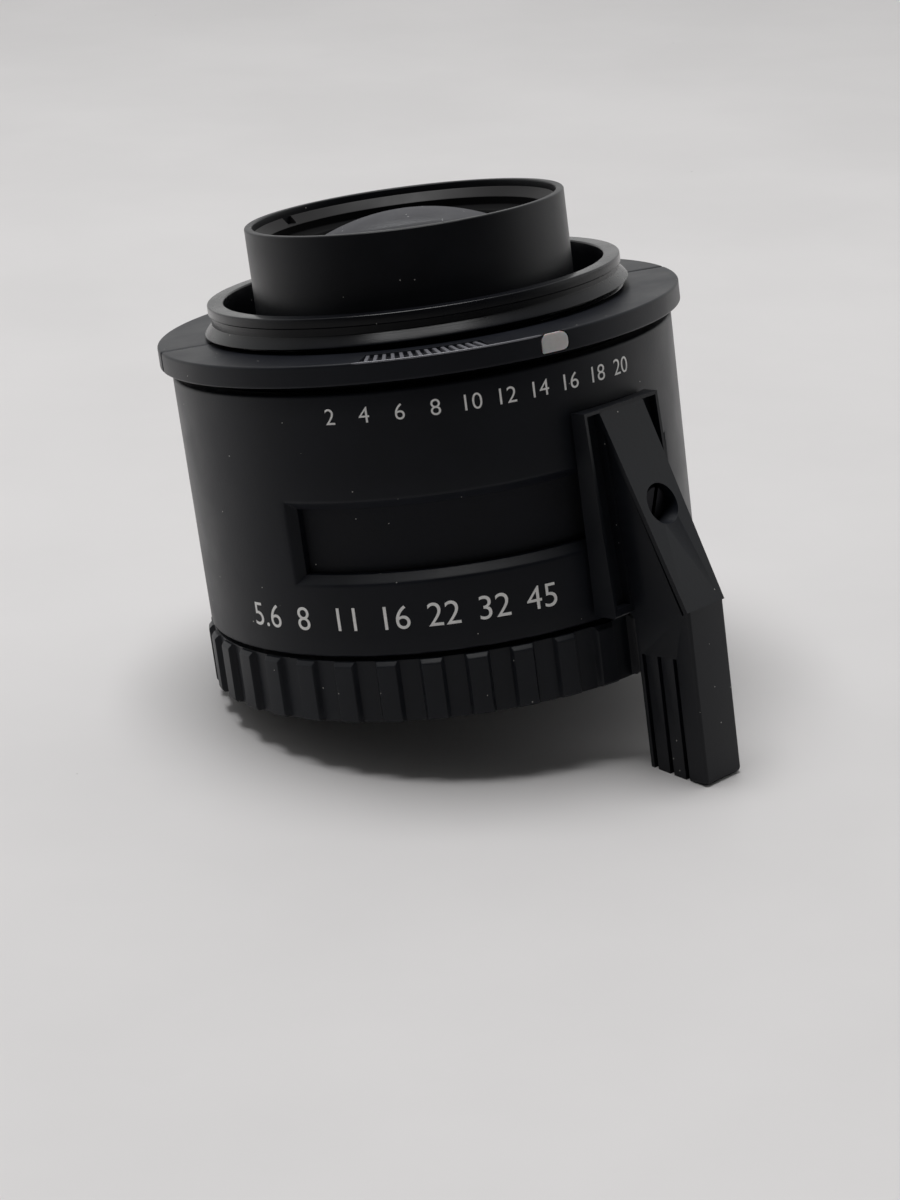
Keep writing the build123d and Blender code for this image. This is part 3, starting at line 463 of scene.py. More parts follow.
def make_materials(colours):
    """All finishes, named for what they are made of."""
    MATERIALS.update({
        # Glass-filled plastic, spark-eroded mould: satin, broad soft highlights, fine even grain.
        "moulded": black_finish("moulded_black_plastic", colours.moulded, (0.38, 0.48), 0.22, 0.006,
                                dust=0.35, specular=0.26),
        # The aperture ring is moulded in the same plastic, a little greyer with handling.
        "ring": black_finish("handled_black_plastic", colours.ring, (0.38, 0.5), 0.22, 0.006, dust=0.4,
                             specular=0.3),
        # The lever comes from a smoother mould: a little glossier, handled, with more dust.
        "lever": black_finish("lever_black_plastic", colours.lever, (0.33, 0.45), 0.3, 0.005, dust=0.5,
                              specular=0.35),
        # Turned and black anodised aluminium: fine lines round the axis, silky sheen.
        "anodised": black_finish("anodised_black_aluminium", colours.anodised, (0.34, 0.44), 0.2, 0.004,
                                 lines=0.11, specular=0.26),
        # The collar's thread is turned bright, then anodised, so its crests shine.
        "collar": black_finish("glossy_anodised_collar", colours.anodised, (0.2, 0.3), 0.2, 0.003, dust=0.35,
                               lines=0.11, specular=0.3),
        # Deep wells behind the rear glass's ring: painted shade, a darker dull black with next to no
        # reflection.
        "well": black_finish("painted_shade_black", colours.well, (0.8, 0.95), 0.25, 0.01, dust=0.2,
                             specular=0.1),
        # The ring inside the rear tube is duller and a little brown.
        "retainer": black_finish("worn_anodised_ring", colours.retainer, (0.45, 0.6), 0.2, 0.004,
                                 specular=0.3),
        # Black paint or flock on the band behind the slot: no sheen to speak of.
        "matte": black_finish("matte_black_paint", colours.matte, (0.7, 0.9), 0.25, 0.02, specular=0.25),
        "glass": glass_finish("coated_optical_glass", 0.1),
        "inner_glass": glass_finish("inner_optical_glass", 0.01),
        # Screen-printed ink: flat white, slightly uneven.
        "ink": pale_finish("white_scale_ink", colours.ink, 0.55),
        # Translucent white plastic: light goes a little way in.
        "window": pale_finish("white_window_plastic", colours.window, 0.35, light=0.3),
        # Smoky clear plastic over a dark well: glossy dark grey. The pale colour of its teeth and edge is a
        # painted highlight.
        "guide": pale_finish("smoky_guide_plastic", colours.guide, 0.18),
        "guide_highlight": pale_finish("guide_plastic_painted_highlight", colours.guide_highlight, 0.3),
        "blade": metal_finish("blackened_blade_steel", colours.blade, (0.35, 0.5), 0.15, 0.002),
        "brass": metal_finish("blackened_brass", colours.brass, (0.35, 0.5), 0.2, 0.003),
        "steel": metal_finish("bright_spring_steel", colours.steel, (0.15, 0.3), 0.15, 0.002),
        "screw": metal_finish("oxidised_screw_steel", colours.blade, (0.3, 0.45), 0.2, 0.004),
    })


# Finish of each CAD node that stays as it is.
FINISH = {
    "core": "anodised", "collar_screws": "screw", "rear_inner_crown": "inner_glass",
    "rear_inner_flint": "inner_glass", "rear_spacer": "brass", "iris_base_plate": "brass",
    "iris_drive_ring": "brass", "iris_retaining_ring": "brass", "front_inner_flint": "inner_glass",
    "front_inner_crown": "inner_glass", "front_spacer": "brass", "ring_washer": "steel",
    "coupling_key": "brass", "coupling_screw": "steel", "click_ball": "steel", "click_spring": "steel",
    "lever_screw": "screw", **{f"iris_blade_{n}": "blade" for n in range(1, 6)},
}


# ---------------------------------------------------------------- the pieces

def make_barrel(sizes):
    """The moulded barrel: a slightly tapered wall with a bevelled slot.

    Its section is carried round the axis, and outside the slot its radius is the lower of the wall's own and
    foot + d, where d is the larger of the distances from the slot along and across.
    """
    bore, top_r, low, high = span("barrel_shell")
    edge, blend = 0.28, 0.07
    bevel = sizes.slot_bevel / MM
    slot_low, slot_high = SLOT_HEIGHTS
    slot_start, slot_end = SLOT_AZIMUTHS
    foot = top_r - BARREL_TAPER - bevel
    away = np.array([0, 0.05, 0.2, 0.38, 0.5, 0.58, 0.64, 0.7, 0.8, 1.0])
    bend = edge * (1 - np.cos(np.linspace(0, np.pi / 2, 5)))
    heights = np.concatenate([
        low + bend, np.linspace(low + edge, slot_low - 1, 5)[1:-1], slot_low - away[::-1],
        slot_high + away, np.linspace(slot_high + 1, high - edge, 6)[1:-1], (high - bend)[::-1],
    ])
    wall = top_r - BARREL_TAPER * (high - heights) / (high - low)
    from_end = np.minimum(np.minimum(heights - low, high - heights), edge)
    wall = wall - edge + np.sqrt(edge ** 2 - (edge - from_end) ** 2)
    reach = degrees(away, top_r)
    inside = np.linspace(slot_start, slot_end, 84)
    azimuths = np.concatenate([slot_start - reach[:0:-1], inside, slot_end + reach[1:]])
    rest = np.linspace(azimuths[-1], azimuths[0] + 360, 220)[1:-1]
    azimuths = np.concatenate([azimuths, rest])
    out_along = arc(np.maximum(slot_start - azimuths, azimuths - slot_end), top_r)
    out_along = np.where(azimuths > 180, FAR, out_along)
    out_across = np.maximum(slot_low - heights, heights - slot_high)
    distance = np.maximum(np.maximum(out_along[:, None], out_across[None, :]), 0)
    outer = soft_min(wall[None, :], foot + distance, blend)
    outer = np.where(distance > bevel + 0.5, wall[None, :], outer)
    inner_heights = np.array([high, slot_high, slot_low, low])
    radius = np.hstack([outer, np.full((len(azimuths), 4), bore)])
    height = np.broadcast_to(np.concatenate([heights, inner_heights]), radius.shape)
    skin = quads(*radius.shape)
    low_column = int(np.argmin(np.abs(heights - slot_low)))
    first_row = len(reach) - 1
    last_row = first_row + len(inside) - 1
    skin[first_row:last_row, low_column] = -1
    skin[first_row:last_row, len(heights) + 1] = -1
    skin = skin[(skin >= 0).all(axis=-1)]
    points = place(azimuths[:, None], radius, height)
    loop_azimuth = np.concatenate([inside, inside[::-1]])
    loop_height = np.concatenate([np.full(len(inside), slot_low), np.full(len(inside), slot_high)])
    rim = outer[first_row, low_column]
    sides = grid_patch(place(loop_azimuth[:, None], np.array([rim, bore]), loop_height[:, None]),
                       wrap_columns=False)
    piece("barrel", [(points, skin.tolist()), sides], MATERIALS["moulded"], "barrel_shell", sharp=28)


def make_collar(sizes):
    """The screw mount: a turned collar with a helical ridge.

    The ridge's middle is at z = z0 + pitch * A / 360, A being the azimuth and whole turns. It stands
    0.8 above the root, with an upper flank of about 45 degrees, and fades over a part of a turn at both
    ends. Under its first turn the root is 0.5 deeper and the next turn is low, as where a thread runs out.
    """
    bore, foot_r, foot_low, top = span("mount_collar")
    flange_low = span("flange_half_front")[2]
    crest, stand = foot_r - 1.5, 0.8
    root, relief = crest - stand, crest - 1.3
    root_low, root_high, land = 0.06, 2.12, 0.2
    edge = sizes.edge / MM
    profile = rounded([
        (bore, foot_low, edge), (foot_r, foot_low, edge), (foot_r, flange_low - 0.05, edge),
        (relief, flange_low - 0.05, 0), (relief, root_low, 0.04), (root, root_low, 0.05),
        (root, root_high, 0.03), (root + land, root_high + 0.08, 0.06), (root + land, top, 0.14),
        (bore, top, 0.16),
    ], steps=4)
    profile = divided(profile, root_low + 0.04, root_high - 0.02, 0.03, least=bore + 0.1)
    radius, height = profile[None, :, 0], profile[None, :, 1]
    pitch = sizes.thread_pitch / MM
    azimuth = np.where(ROUND > 180, ROUND - 360, ROUND)[:, None]
    start = 0.74
    middle = start + pitch * azimuth / 360
    rise = -0.5 * ease((middle - 0.3 - height) / 0.2)
    first, last, fading = -560, 230, 60
    for lap in (0, -1, -2, 1):
        turned = azimuth + 360 * lap
        centre = start + pitch * turned / 360
        flank = soft_min((centre + 0.76 - height) / 0.88, 1, 0.1)
        ridge = np.clip(soft_min(flank, (height - centre + 0.38) / 0.22, 0.1), 0, 1)
        fade = ease((turned - first) / fading) * ease((last - turned) / fading)
        low = 0.45 + 0.4 * ease((np.abs(azimuth) - 50) / 50) if lap == -1 else 1.0
        rise = np.where(ridge > 0, np.maximum(rise, rise * (1 - ridge) + stand * low * ridge * fade), rise)
    on_wall = (np.abs(radius - root) < 0.02) & (height > root_low + 0.04) & (height < root_high)
    rise = rise * ease((height - root_low) / 0.06)
    radius = radius + np.where(on_wall, rise, 0)
    piece("mount_thread", [grid_patch(place(ROUND[:, None], radius, height))], MATERIALS["collar"],
          "mount_collar", sharp=40)


def rounded_box(along, across, half_along, half_across, corner):
    """Signed distance from a rounded rectangle, whose corner may be an array: below zero inside."""
    x = np.abs(along) - half_along + corner
    y = np.abs(across) - half_across + corner
    return np.hypot(np.maximum(x, 0), np.maximum(y, 0)) + np.minimum(np.maximum(x, y), 0) - corner


def window_outline(along, across):
    """Signed distance from the window's outline: square at its lower left corner and round at its right."""
    right, upper = along > 0, across > 0
    corner = np.where(right, np.where(upper, 0.74, 0.56), np.where(upper, 0.6, 0.14))
    return rounded_box(along, across, *WINDOW_HALF, corner)


def make_flange():
    """The flange's two halves, each half a turn of one section whose ends are rounded over.

    Near an end the section is drawn in by e = c - sqrt(c^2 - (c - s)^2), s being the distance from the end.
    The front half is sunk where the light guide and the index window sit.
    """
    inner, outer, low, high = span("flange_half_front")
    edge, soft, gap_half = 0.2, 0.28, 0.13
    corners = [(inner, low, 0.05), (outer, low, edge), (outer, high, edge), (inner, high, 0.1)]
    profile = rounded(corners, steps=4)
    profile = divided(profile, low + 0.1, high - 0.1, 0.07)
    radii = np.array([20.4, GUIDE_RADII[0] - 0.06, GUIDE_RADII[0], GUIDE_RADII[0] + 0.06, GUIDE_MIDDLE,
                      GUIDE_RADII[1] - 0.08, GUIDE_RADII[1]])
    order = np.argsort(np.where((profile[:, 1] > high - 1e-6), profile[:, 0], FAR))[:2]
    extra = np.stack([radii[::-1], np.full(len(radii), high)], axis=-1)
    profile = np.insert(profile, max(order), extra, axis=0)
    normal = np.roll(profile, -1, axis=0) - np.roll(profile, 1, axis=0)
    normal = np.stack([normal[:, 1], -normal[:, 0]], axis=-1) / np.linalg.norm(normal, axis=1)[:, None]
    seam = degrees(gap_half, outer)
    ends = degrees(soft * (1 - np.cos(np.linspace(0, np.pi / 2, 6))), outer)
    fine_guide = np.array([GUIDE_HALF - 0.12, GUIDE_HALF + 0.12])
    fine_window = WINDOW_AZIMUTH + degrees(np.linspace(-1.5, 1.5, 58), outer)
    for name, node, start, extra_lines in (
            ("flange_front", "flange_half_front", SPLIT_AZIMUTH - 180,
             np.concatenate([-fine_guide, fine_guide, fine_window])),
            ("flange_rear", "flange_half_rear", SPLIT_AZIMUTH, np.array([]))):
        first, last = start + seam, start + 180 - seam
        azimuths = np.unique(np.round(np.concatenate([
            first + ends, last - ends, np.linspace(first + ends[-1], last - ends[-1], 140), extra_lines]), 5))
        from_end = np.minimum(arc(np.minimum(azimuths - first, last - azimuths), outer), soft)
        drawn = soft - np.sqrt(np.maximum(soft ** 2 - (soft - from_end) ** 2, 0))
        section = profile[None] - drawn[:, None, None] * normal[None]
        radius, height = section[..., 0].copy(), section[..., 1].copy()
        if node == "flange_half_front":
            side = arc(GUIDE_HALF - np.abs(azimuths), GUIDE_MIDDLE)
            depth = np.minimum(side[:, None],
                               np.minimum(radius - GUIDE_RADII[0], GUIDE_RADII[1] - 0.04 - radius))
            well = np.clip(depth / 0.1 + 0.5, 0, 1)
            height = height - np.where(height > high - 0.12, 0.42 * well, 0)
            along = arc(azimuths[:, None] - WINDOW_AZIMUTH, outer)
            gap = window_outline(along, height - WINDOW_HEIGHT) - 0.05
            sunk = np.clip(0.5 - gap / 0.07, 0, 1)
            radius = radius - np.where(radius > outer - 0.3, 0.3 * sunk, 0)
        piece(name, [sector(place(azimuths[:, None], radius, height))], MATERIALS["moulded"], node)


def make_window():
    """The index window: a D-shaped plug whose face swells by 0.04 and drops at its rim.

    The outline is found along 96 rays from the middle by halving, and its rings shrink to poles at both ends.
    """
    outer = span("flange_half_front")[1]
    turn = np.linspace(0, 2 * np.pi, 96, endpoint=False)
    near, far = np.zeros(len(turn)), np.full(len(turn), 2 * max(WINDOW_HALF) + 0.4)
    for _ in range(24):
        reach = (near + far) / 2
        outside = window_outline(reach * np.cos(turn), reach * np.sin(turn)) > 0
        near, far = np.where(outside, near, reach), np.where(outside, reach, far)
    share = np.concatenate([np.linspace(0, 1, 9) ** 0.6, [1.0, 0.0]])
    level = np.concatenate([0.045 * (1 - np.linspace(0, 1, 9) ** 4) - 0.02, [-0.28, -0.28]])
    along = reach[:, None] * np.cos(turn)[:, None] * share
    across = reach[:, None] * np.sin(turn)[:, None] * share
    points = place(WINDOW_AZIMUTH + degrees(along, outer), outer + level[None, :], WINDOW_HEIGHT + across)
    faces = quads(*points.shape[:2], wrap_columns=False)[..., ::-1]
    piece("window_plug", [(points, faces_of(faces))], MATERIALS["window"], "index_window")


def make_guide():
    """The light guide: a dark strip in the flange's well, a row of teeth on it, and a thin edge that
    follows the flange's rim as far as the window. Teeth and edge are pale, a painted highlight.

    Tooth n covers 0.45 of its share of the strip and slants 0.8 degrees from its inner to its outer end.
    """
    inner, outer = GUIDE_RADII[0] + 0.06, GUIDE_RADII[1] - 0.06
    teeth = 14
    pitch = 2 * GUIDE_HALF / teeth
    half = GUIDE_HALF - 0.18
    bottom, top, tooth_low, tooth_high = -0.41, -0.3, -0.36, -0.03
    strip = np.array([(inner, bottom), (outer, bottom), (outer, top), (inner, top)])
    azimuths = np.linspace(-half, half, 60)
    patches = [sector(place(azimuths[:, None], strip[None, :, 0], strip[None, :, 1]))]
    tooth = rounded([(inner + 0.02, tooth_low, 0), (outer - 0.02, tooth_low, 0),
                     (outer - 0.02, tooth_high, 0.06), (inner + 0.02, tooth_high, 0.06)])
    slant = 0.8 * (tooth[:, 0] - inner) / (outer - inner) - 0.4
    pale = []
    for middle in -GUIDE_HALF + pitch * (np.arange(teeth) + 0.5):
        across = middle + pitch * np.array([-0.22, -0.19, 0.19, 0.22])
        drop = np.array([0.05, 0, 0, 0.05])
        lines = across[:, None] + slant[None, :]
        rows = tooth[None, :, 1] - drop[:, None] * (tooth[None, :, 1] > -0.1)
        pale.append(sector(place(np.clip(lines, -half, half), tooth[None, :, 0], rows)))
    rim = span("flange_half_front")[1]
    turn = np.linspace(0, 2 * np.pi, 12, endpoint=False)
    first, last = -15.3, WINDOW_AZIMUTH - 2.6
    azimuths = np.linspace(first, last, 90)
    from_end = np.minimum(azimuths - first + 0.01, last + 0.01 - azimuths)[:, None]
    thick, sunk = 0.1 * np.sqrt(np.clip(from_end / 1.5, 0, 1)), 0.09
    bead_r, bead_z = rim - sunk + thick * np.cos(turn), thick * np.sin(turn) - sunk
    pale.append(sector(place(azimuths[:, None], bead_r, bead_z)))
    piece("guide_strip", patches, MATERIALS["guide"], "light_guide")
    # The teeth and the edge take the pale colour of the painted highlight.
    piece("guide_teeth", pale, MATERIALS["guide_highlight"], "light_guide")


def make_rear_tube(sizes):
    """The rear tube and the ring that holds the rear glass: turned sections, with two spanner slots.

    The tube's wall is 0.58 thinner than its hidden screw. The ring's mouth is a 45 degree cone 0.9 deep.
    """
    _, screw_r, low, high = span("rear_tube")
    glass_r = span("rear_element")[1]
    ring_inner, ring_outer, ring_low, ring_high = span("rear_retaining_ring")
    outer = screw_r - 0.58
    mouth_r, glass_bore, lip = ring_outer + PLAY, glass_r + PLAY, glass_r - 1.1
    seat, lip_low, screw_top, doublet_seat = 4.3, 3.1, -3.2, -7.2
    doublet_bore, throat = 9.25, 8.2
    edge = sizes.edge / MM
    profile = rounded([
        (outer - 0.72, high, 0.14), (mouth_r, ring_high + 0.1, HIDDEN), (mouth_r, ring_low, HIDDEN),
        (glass_bore, ring_low, HIDDEN), (glass_bore, seat, HIDDEN), (lip, seat, HIDDEN),
        (lip, lip_low, HIDDEN), (doublet_bore, lip_low, HIDDEN), (doublet_bore, doublet_seat, HIDDEN),
        (throat, doublet_seat, HIDDEN), (throat, low, HIDDEN), (screw_r, low, HIDDEN),
        (screw_r, screw_top, edge), (outer, screw_top, HIDDEN), (outer, high, 0.16),
    ], steps=4)
    piece("rear_tube_turned", [lathe(profile)], MATERIALS["anodised"], "rear_tube")
    cone, notch_half, notch_deep = 0.9, 0.6, 0.8
    mouth, step = ring_outer - cone, ring_low + 1.1
    profile = rounded([
        (ring_inner, ring_low + 0.57, 0.05), (glass_r, ring_low + 0.07, HIDDEN), (ring_outer, ring_low, HIDDEN),
        (ring_outer, ring_high, 0.06), (mouth, ring_high - cone, 0.08), (mouth, step, 0.1),
        (ring_inner + 0.2, step, 0.12), (ring_inner, ring_low + 0.9, 0.1),
    ], steps=4)
    profile = divided(profile, ring_high - 0.85, ring_high - 0.05, 0.12)
    azimuths, slot = notched(NOTCH_AZIMUTHS, notch_half, ring_outer)
    radius, height = profile[None, :, 0], profile[None, :, 1]
    floor = ring_high - notch_deep * slot[:, None]
    height = np.minimum(height, np.maximum(floor, height * (radius < mouth + 0.01)))
    ring = piece("rear_retainer_turned", [grid_patch(place(azimuths[:, None], radius, height))],
                 MATERIALS["retainer"], "rear_retaining_ring")
    # The faces below the mouth's cone take the painted shade.
    paint_bore_shade(ring, ring_high - cone - 0.03)


def paint_bore_shade(thing, height):
    """Painted shade: dull black on the faces of a piece whose middles are below a height."""
    polygons = thing.data.polygons
    middle = np.empty(3 * len(polygons))
    polygons.foreach_get("center", middle)
    thing.data.materials.append(MATERIALS["well"])
    polygons.foreach_set("material_index", (middle[2::3] < height * MM).astype(np.int32))


def notched(middles, half, radius):
    """Azimuths with extra lines at the sides of slots of a half width, and 1 inside a slot, else 0."""
    sides = degrees(np.array([-half - 0.03, -half + 0.03, half - 0.03, half + 0.03]), radius)
    lines = (np.array(middles)[:, None] + sides).ravel() % 360
    azimuths = np.unique(np.concatenate([ROUND, lines]))
    away = arc(np.abs((azimuths[:, None] - np.array(middles) + 180) % 360 - 180), radius)
    return azimuths, np.clip((half - away.min(axis=1)) / 0.06 + 0.5, 0, 1)


def make_glass():
    """The lens elements: spherical caps with a ground edge between them.

    Each row ends with the height of the rear and front cap, and how far the rear rim is set in.
    """
    for name, node, finish, sags, inset in (
            ("rear_glass", "rear_element", "glass", (3.05, 0.5), 0.2),
            ("front_glass", "front_element", "glass", (-0.6, -1.9), 0),
            ("rear_crown_glass", "rear_inner_crown", "inner_glass", (1.6, -0.4), 0),
            ("rear_flint_glass", "rear_inner_flint", "inner_glass", (-0.4, 1.4), 0),
            ("front_flint_glass", "front_inner_flint", "inner_glass", (-1.2, 0.4), 0),
            ("front_crown_glass", "front_inner_crown", "inner_glass", (0.4, -1.5), 0)):
        _, radius, low, high = span(node)
        rear, front = high - max(sags[0], 0) - inset, low - min(sags[1], 0)
        profile = lens_profile(radius, rear, front, *sags)
        piece(name, [lathe(profile, wrap_columns=False)], MATERIALS[finish], node)


def make_ring(sizes):
    """The aperture ring: a turned section whose outer wall swells into ribs.

    Within a rib's pitch the radius rises from the groove to the crest over a narrow flank, and 45 degree
    chamfers cut the ribs' ends: r = lowest of groove + (crest - groove) * rib, crest - c + depth.
    """
    _, crest, low, high = span("aperture_ring")
    groove, bore, web_inner, web = crest - 0.58, crest - 2.0, 19.4, 1.1
    chamfer, low_chamfer, blend = sizes.rib_chamfer / MM, 0.3, 0.03
    rib_half, flank = 0.57, 0.17
    pitch = 360 / sizes.ribs
    profile = rounded([
        (bore, low, 0.1), (groove, low, 0.12), (groove, high, 0.06), (web_inner, high, HIDDEN),
        (web_inner, high - web, HIDDEN), (bore, high - web, 0.05),
    ])
    heights = np.concatenate([
        low + np.array([0.15, 0.22, 0.32, 0.42]), np.linspace(low + 0.6, high - 0.65, 8),
        high - np.array([0.5, 0.44, 0.4, 0.36, 0.3, 0.2, 0.1]),
    ])
    wall = np.abs(profile[:, 0] - groove) < 1e-6
    first = int(np.argmax(wall))
    extra = np.stack([np.full(len(heights), groove), heights], axis=-1)
    profile = np.insert(profile, first + 1, extra, axis=0)
    outside = np.abs(profile[:, 0] - groove) < 1e-6
    part = np.array([0, 0.12, 0.24, 0.34, 0.38, 0.41, 0.44, 0.48, 0.52, 0.56, 0.6, 0.66, 0.8]) / 2
    offsets = np.concatenate([-part[:0:-1], part, [0.5]]) * pitch
    azimuths = (RIB_AZIMUTH + np.arange(sizes.ribs)[:, None] * pitch + offsets[None, :]).ravel()
    share = np.abs(np.tile(offsets, sizes.ribs)) / (pitch / 2)
    rib = ease((rib_half - share) / flank)
    radius = np.broadcast_to(profile[None, :, 0], (len(azimuths), len(profile))).copy()
    height = np.broadcast_to(profile[None, :, 1], radius.shape)
    full = groove + (crest - groove) * rib[:, None]
    cut = np.minimum(crest - chamfer + (high - height), crest - low_chamfer + (height - low))
    swollen = np.maximum(soft_min(full, cut, blend), groove)
    radius[:, outside] = swollen[:, outside]
    piece("fluted_ring", [grid_patch(place(azimuths[:, None], radius, height))], MATERIALS["ring"],
          "aperture_ring", sharp=30)


def make_front_cell(sizes):
    """The front cell: a turned tube with a helical filter thread inside its lip, and a slotted ring."""
    _, outer, low, high = span("front_tube")
    glass_r = span("front_element")[1]
    ring_inner, ring_outer, ring_low, ring_high = span("front_retaining_ring")
    filter_r, floor, flare = outer - 0.9, low + 2.4, -27.9
    throat, tube_r, floor_r, doublet_bore = 8.6, 15.15, 18.6, 9.65
    ring_bore, ring_seat, glass_bore = ring_outer + PLAY, ring_high + 0.02, glass_r + PLAY
    glass_seat, doublet_seat = ring_high + 1.6, high - 0.9
    profile = rounded([
        (throat, high, 0.05), (tube_r, high, 0.05), (tube_r, flare, HIDDEN), (outer, flare, 0.05),
        (outer, low, 0.15), (filter_r, low, 0.12), (filter_r, floor, 0.05), (floor_r, floor, 0.05),
        (ring_bore, floor + 0.9, 0.05), (ring_bore, ring_seat, HIDDEN), (glass_bore, ring_seat, HIDDEN),
        (glass_bore, glass_seat, HIDDEN), (doublet_bore, glass_seat, HIDDEN),
        (doublet_bore, doublet_seat, HIDDEN), (throat, doublet_seat, HIDDEN),
    ])
    profile = divided(profile, low + 0.3, floor - 0.1, 0.06)
    radius, height = profile[None, :, 0], profile[None, :, 1]
    pitch = sizes.filter_pitch / MM
    phase = ((height - low) / pitch - ROUND[:, None] / 360) % 1
    groove = 0.22 * (1 - np.abs(2 * phase - 1))
    threaded = (np.abs(radius - filter_r) < 1e-3) & (height > low + 0.25) & (height < floor - 0.2)
    radius = radius + np.where(threaded, groove, 0)
    piece("front_cell_turned", [grid_patch(place(ROUND[:, None], radius, height))],
          MATERIALS["anodised"], "front_tube", sharp=40)
    profile = rounded([
        (ring_inner, ring_high - 0.53, 0.05), (ring_inner, ring_low + 0.2, 0.12),
        (ring_inner + 0.5, ring_low, 0.1), (ring_outer, ring_low, 0.1), (ring_outer, ring_high, 0.02),
        (glass_r - 0.2, ring_high, 0.02),
    ], steps=4)
    profile = divided(profile, ring_low - 1, ring_low + 0.01, 0.35)
    notches, notch_half, notch_r = (110, 290), 0.5, 12.4
    azimuths, slot = notched(notches, notch_half, notch_r)
    height = np.maximum(profile[None, :, 1], ring_low + 0.6 * slot[:, None])
    piece("front_retainer_turned", [grid_patch(place(azimuths[:, None], profile[None, :, 0], height))],
          MATERIALS["anodised"], "front_retaining_ring")


def make_carrier(sizes):
    """The carrier band that shows as the floor of the lever's slot."""
    inner, outer, low, high = span("lever_carrier")
    edge = sizes.edge / MM
    profile = rounded([(inner, low, edge), (outer, low, edge), (outer, high, edge), (inner, high, edge)])
    piece("carrier_band", [lathe(profile)], MATERIALS["matte"], "lever_carrier")


def make_lever(sizes):
    """The moulded lever: the CAD solid's surface, merged and freed of flat edges, its corners rounded."""
    mesh = frame["nodes"]["lever"].data.copy()
    mesh.name = "preset_lever"
    clean(mesh, 2e-6, 30, flat=1.0)
    mesh.materials.clear()
    mesh.materials.append(MATERIALS["lever"])
    thing = put("preset_lever", mesh)
    bevel = thing.modifiers.new("rounded_corners", "BEVEL")
    bevel.width = sizes.moulded_edge
    bevel.segments = 3
    bevel.limit_method = "ANGLE"
    bevel.angle_limit = math.radians(32)
    bevel.harden_normals = True
    bevel.miter_outer = "MITER_ARC"
    settle(thing, "lever")


def numeral(text, size):
    """A numeral from the built-in typeface: its points, in millimetres across its middle, and its faces."""
    curve = bpy.data.curves.new("numeral", "FONT")
    curve.body = text
    curve.size = size
    curve.align_x = "CENTER"
    curve.extrude = 0.5
    curve.offset = -0.004 * size
    curve.resolution_u = 6
    holder = put("numeral", curve)
    bpy.context.view_layer.update()
    mesh = bpy.data.meshes.new_from_object(holder.evaluated_get(bpy.context.evaluated_depsgraph_get()))
    points = np.empty(3 * len(mesh.vertices))
    mesh.vertices.foreach_get("co", points)
    faces = [list(face.vertices) for face in mesh.polygons]
    bpy.data.objects.remove(holder)
    bpy.data.curves.remove(curve)
    bpy.data.meshes.remove(mesh)
    return points.reshape(-1, 3), faces


def make_scale(name, texts, azimuths, height, size):
    """Numerals wrapped on the barrel: x becomes azimuth, y height, and the thickness 0.02 of ink.

    A capital of the typeface is 0.72 of its size.
    """
    capital, ink_low, ink_thick = 0.72, 0.012, 0.02
    _, top_r, low, high = span("barrel_shell")
    patches = []
    for text, azimuth in zip(texts, azimuths):
        points, faces = numeral(text, size / capital)
        z = height + points[:, 1] - size / 2
        wall = top_r - BARREL_TAPER * (high - z) / (high - low)
        depth = ink_low + ink_thick * points[:, 2]
        patches.append((place(azimuth + degrees(points[:, 0], top_r), wall + depth, z), faces))
    piece(name, patches, MATERIALS["ink"], body="barrel")


# ---------------------------------------------------------------- stage

def make_floor(colours):
    """The pale sheet, tilted under the two points that the lens stands on: ring's rim and lever's tip.

    Mirrored rays see it half as bright in front of the lens and a third brighter behind it, so that the
    black walls mirror a stage that is dim in front and bright behind.
    """
    _, ring_r, ring_low, _ = span("aperture_ring")
    tip_r, reach = 31.3, 4.0
    tip = Vector(place(LEVER_AZIMUTH, tip_r, span("lever")[2]))
    heel = Vector(place(LEVER_AZIMUTH + 180, ring_r - 0.3, ring_low))
    across = Vector(place(LEVER_AZIMUTH + 90, 1.0, 0.0)).normalized()
    along = (tip - heel).normalized()
    normal = across.cross(along)
    if normal.z < 0:
        normal = -normal
    below = 0.02 * MM * normal
    square = ((-1, -1), (1, -1), (1, 1), (-1, 1))
    corners = [heel + reach * (a * across + b * along) - below for a, b in square]
    upward = (corners[1] - corners[0]).cross(corners[3] - corners[0]).dot(normal) > 0
    mesh = bpy.data.meshes.new("floor")
    mesh.from_pydata(corners, [], [(0, 1, 2, 3) if upward else (3, 2, 1, 0)])
    floor = put("floor", mesh)
    # Coated card: nearly flat white, a few smudges and specks.
    material, tree, shader, point = blank("pale_card")
    smudge = add(tree, "ShaderNodeTexNoise", {"Vector": point, "Scale": 1 / (45 * MM), "Detail": 6.0,
                                              "Roughness": 0.55})
    tone = add(tree, "ShaderNodeMapRange", {"Value": smudge, "From Min": 0.35, "From Max": 0.65,
                                            "To Min": 0.97, "To Max": 1.02})
    crumbs = speck(tree, point, 9.0, 0.22, 0.3)
    darker = add(tree, "ShaderNodeMath", {0: crumbs, 1: -0.22, 2: tone}, operation="MULTIPLY_ADD")
    tinted = add(tree, "ShaderNodeVectorMath", {0: tuple(colours.floor), "Scale": darker}, operation="SCALE")
    mirrored = add(tree, "ShaderNodeLightPath").outputs["Is Glossy Ray"]
    depth = add(tree, "ShaderNodeSeparateXYZ", {0: point}).outputs["Y"]
    hidden = add(tree, "ShaderNodeMapRange", {"Value": depth, "From Min": -0.06, "From Max": 0.06,
                                              "To Min": 0.5, "To Max": 1.32}, interpolation_type="SMOOTHSTEP")
    share = add(tree, "ShaderNodeMapRange", {"Value": mirrored, "To Min": 0.965, "To Max": hidden})
    shown = add(tree, "ShaderNodeVectorMath", {0: tinted, "Scale": share}, operation="SCALE")
    feed(tree, shader, {"Base Color": shown, "Roughness": 0.55, "Specular IOR Level": 0.3})
    back = add(tree, "ShaderNodeNewGeometry").outputs["Backfacing"]
    clear = add(tree, "ShaderNodeBsdfTransparent")
    surface(tree, add(tree, "ShaderNodeMixShader", {0: back, 1: shader, 2: clear}))
    mesh.materials.append(material)


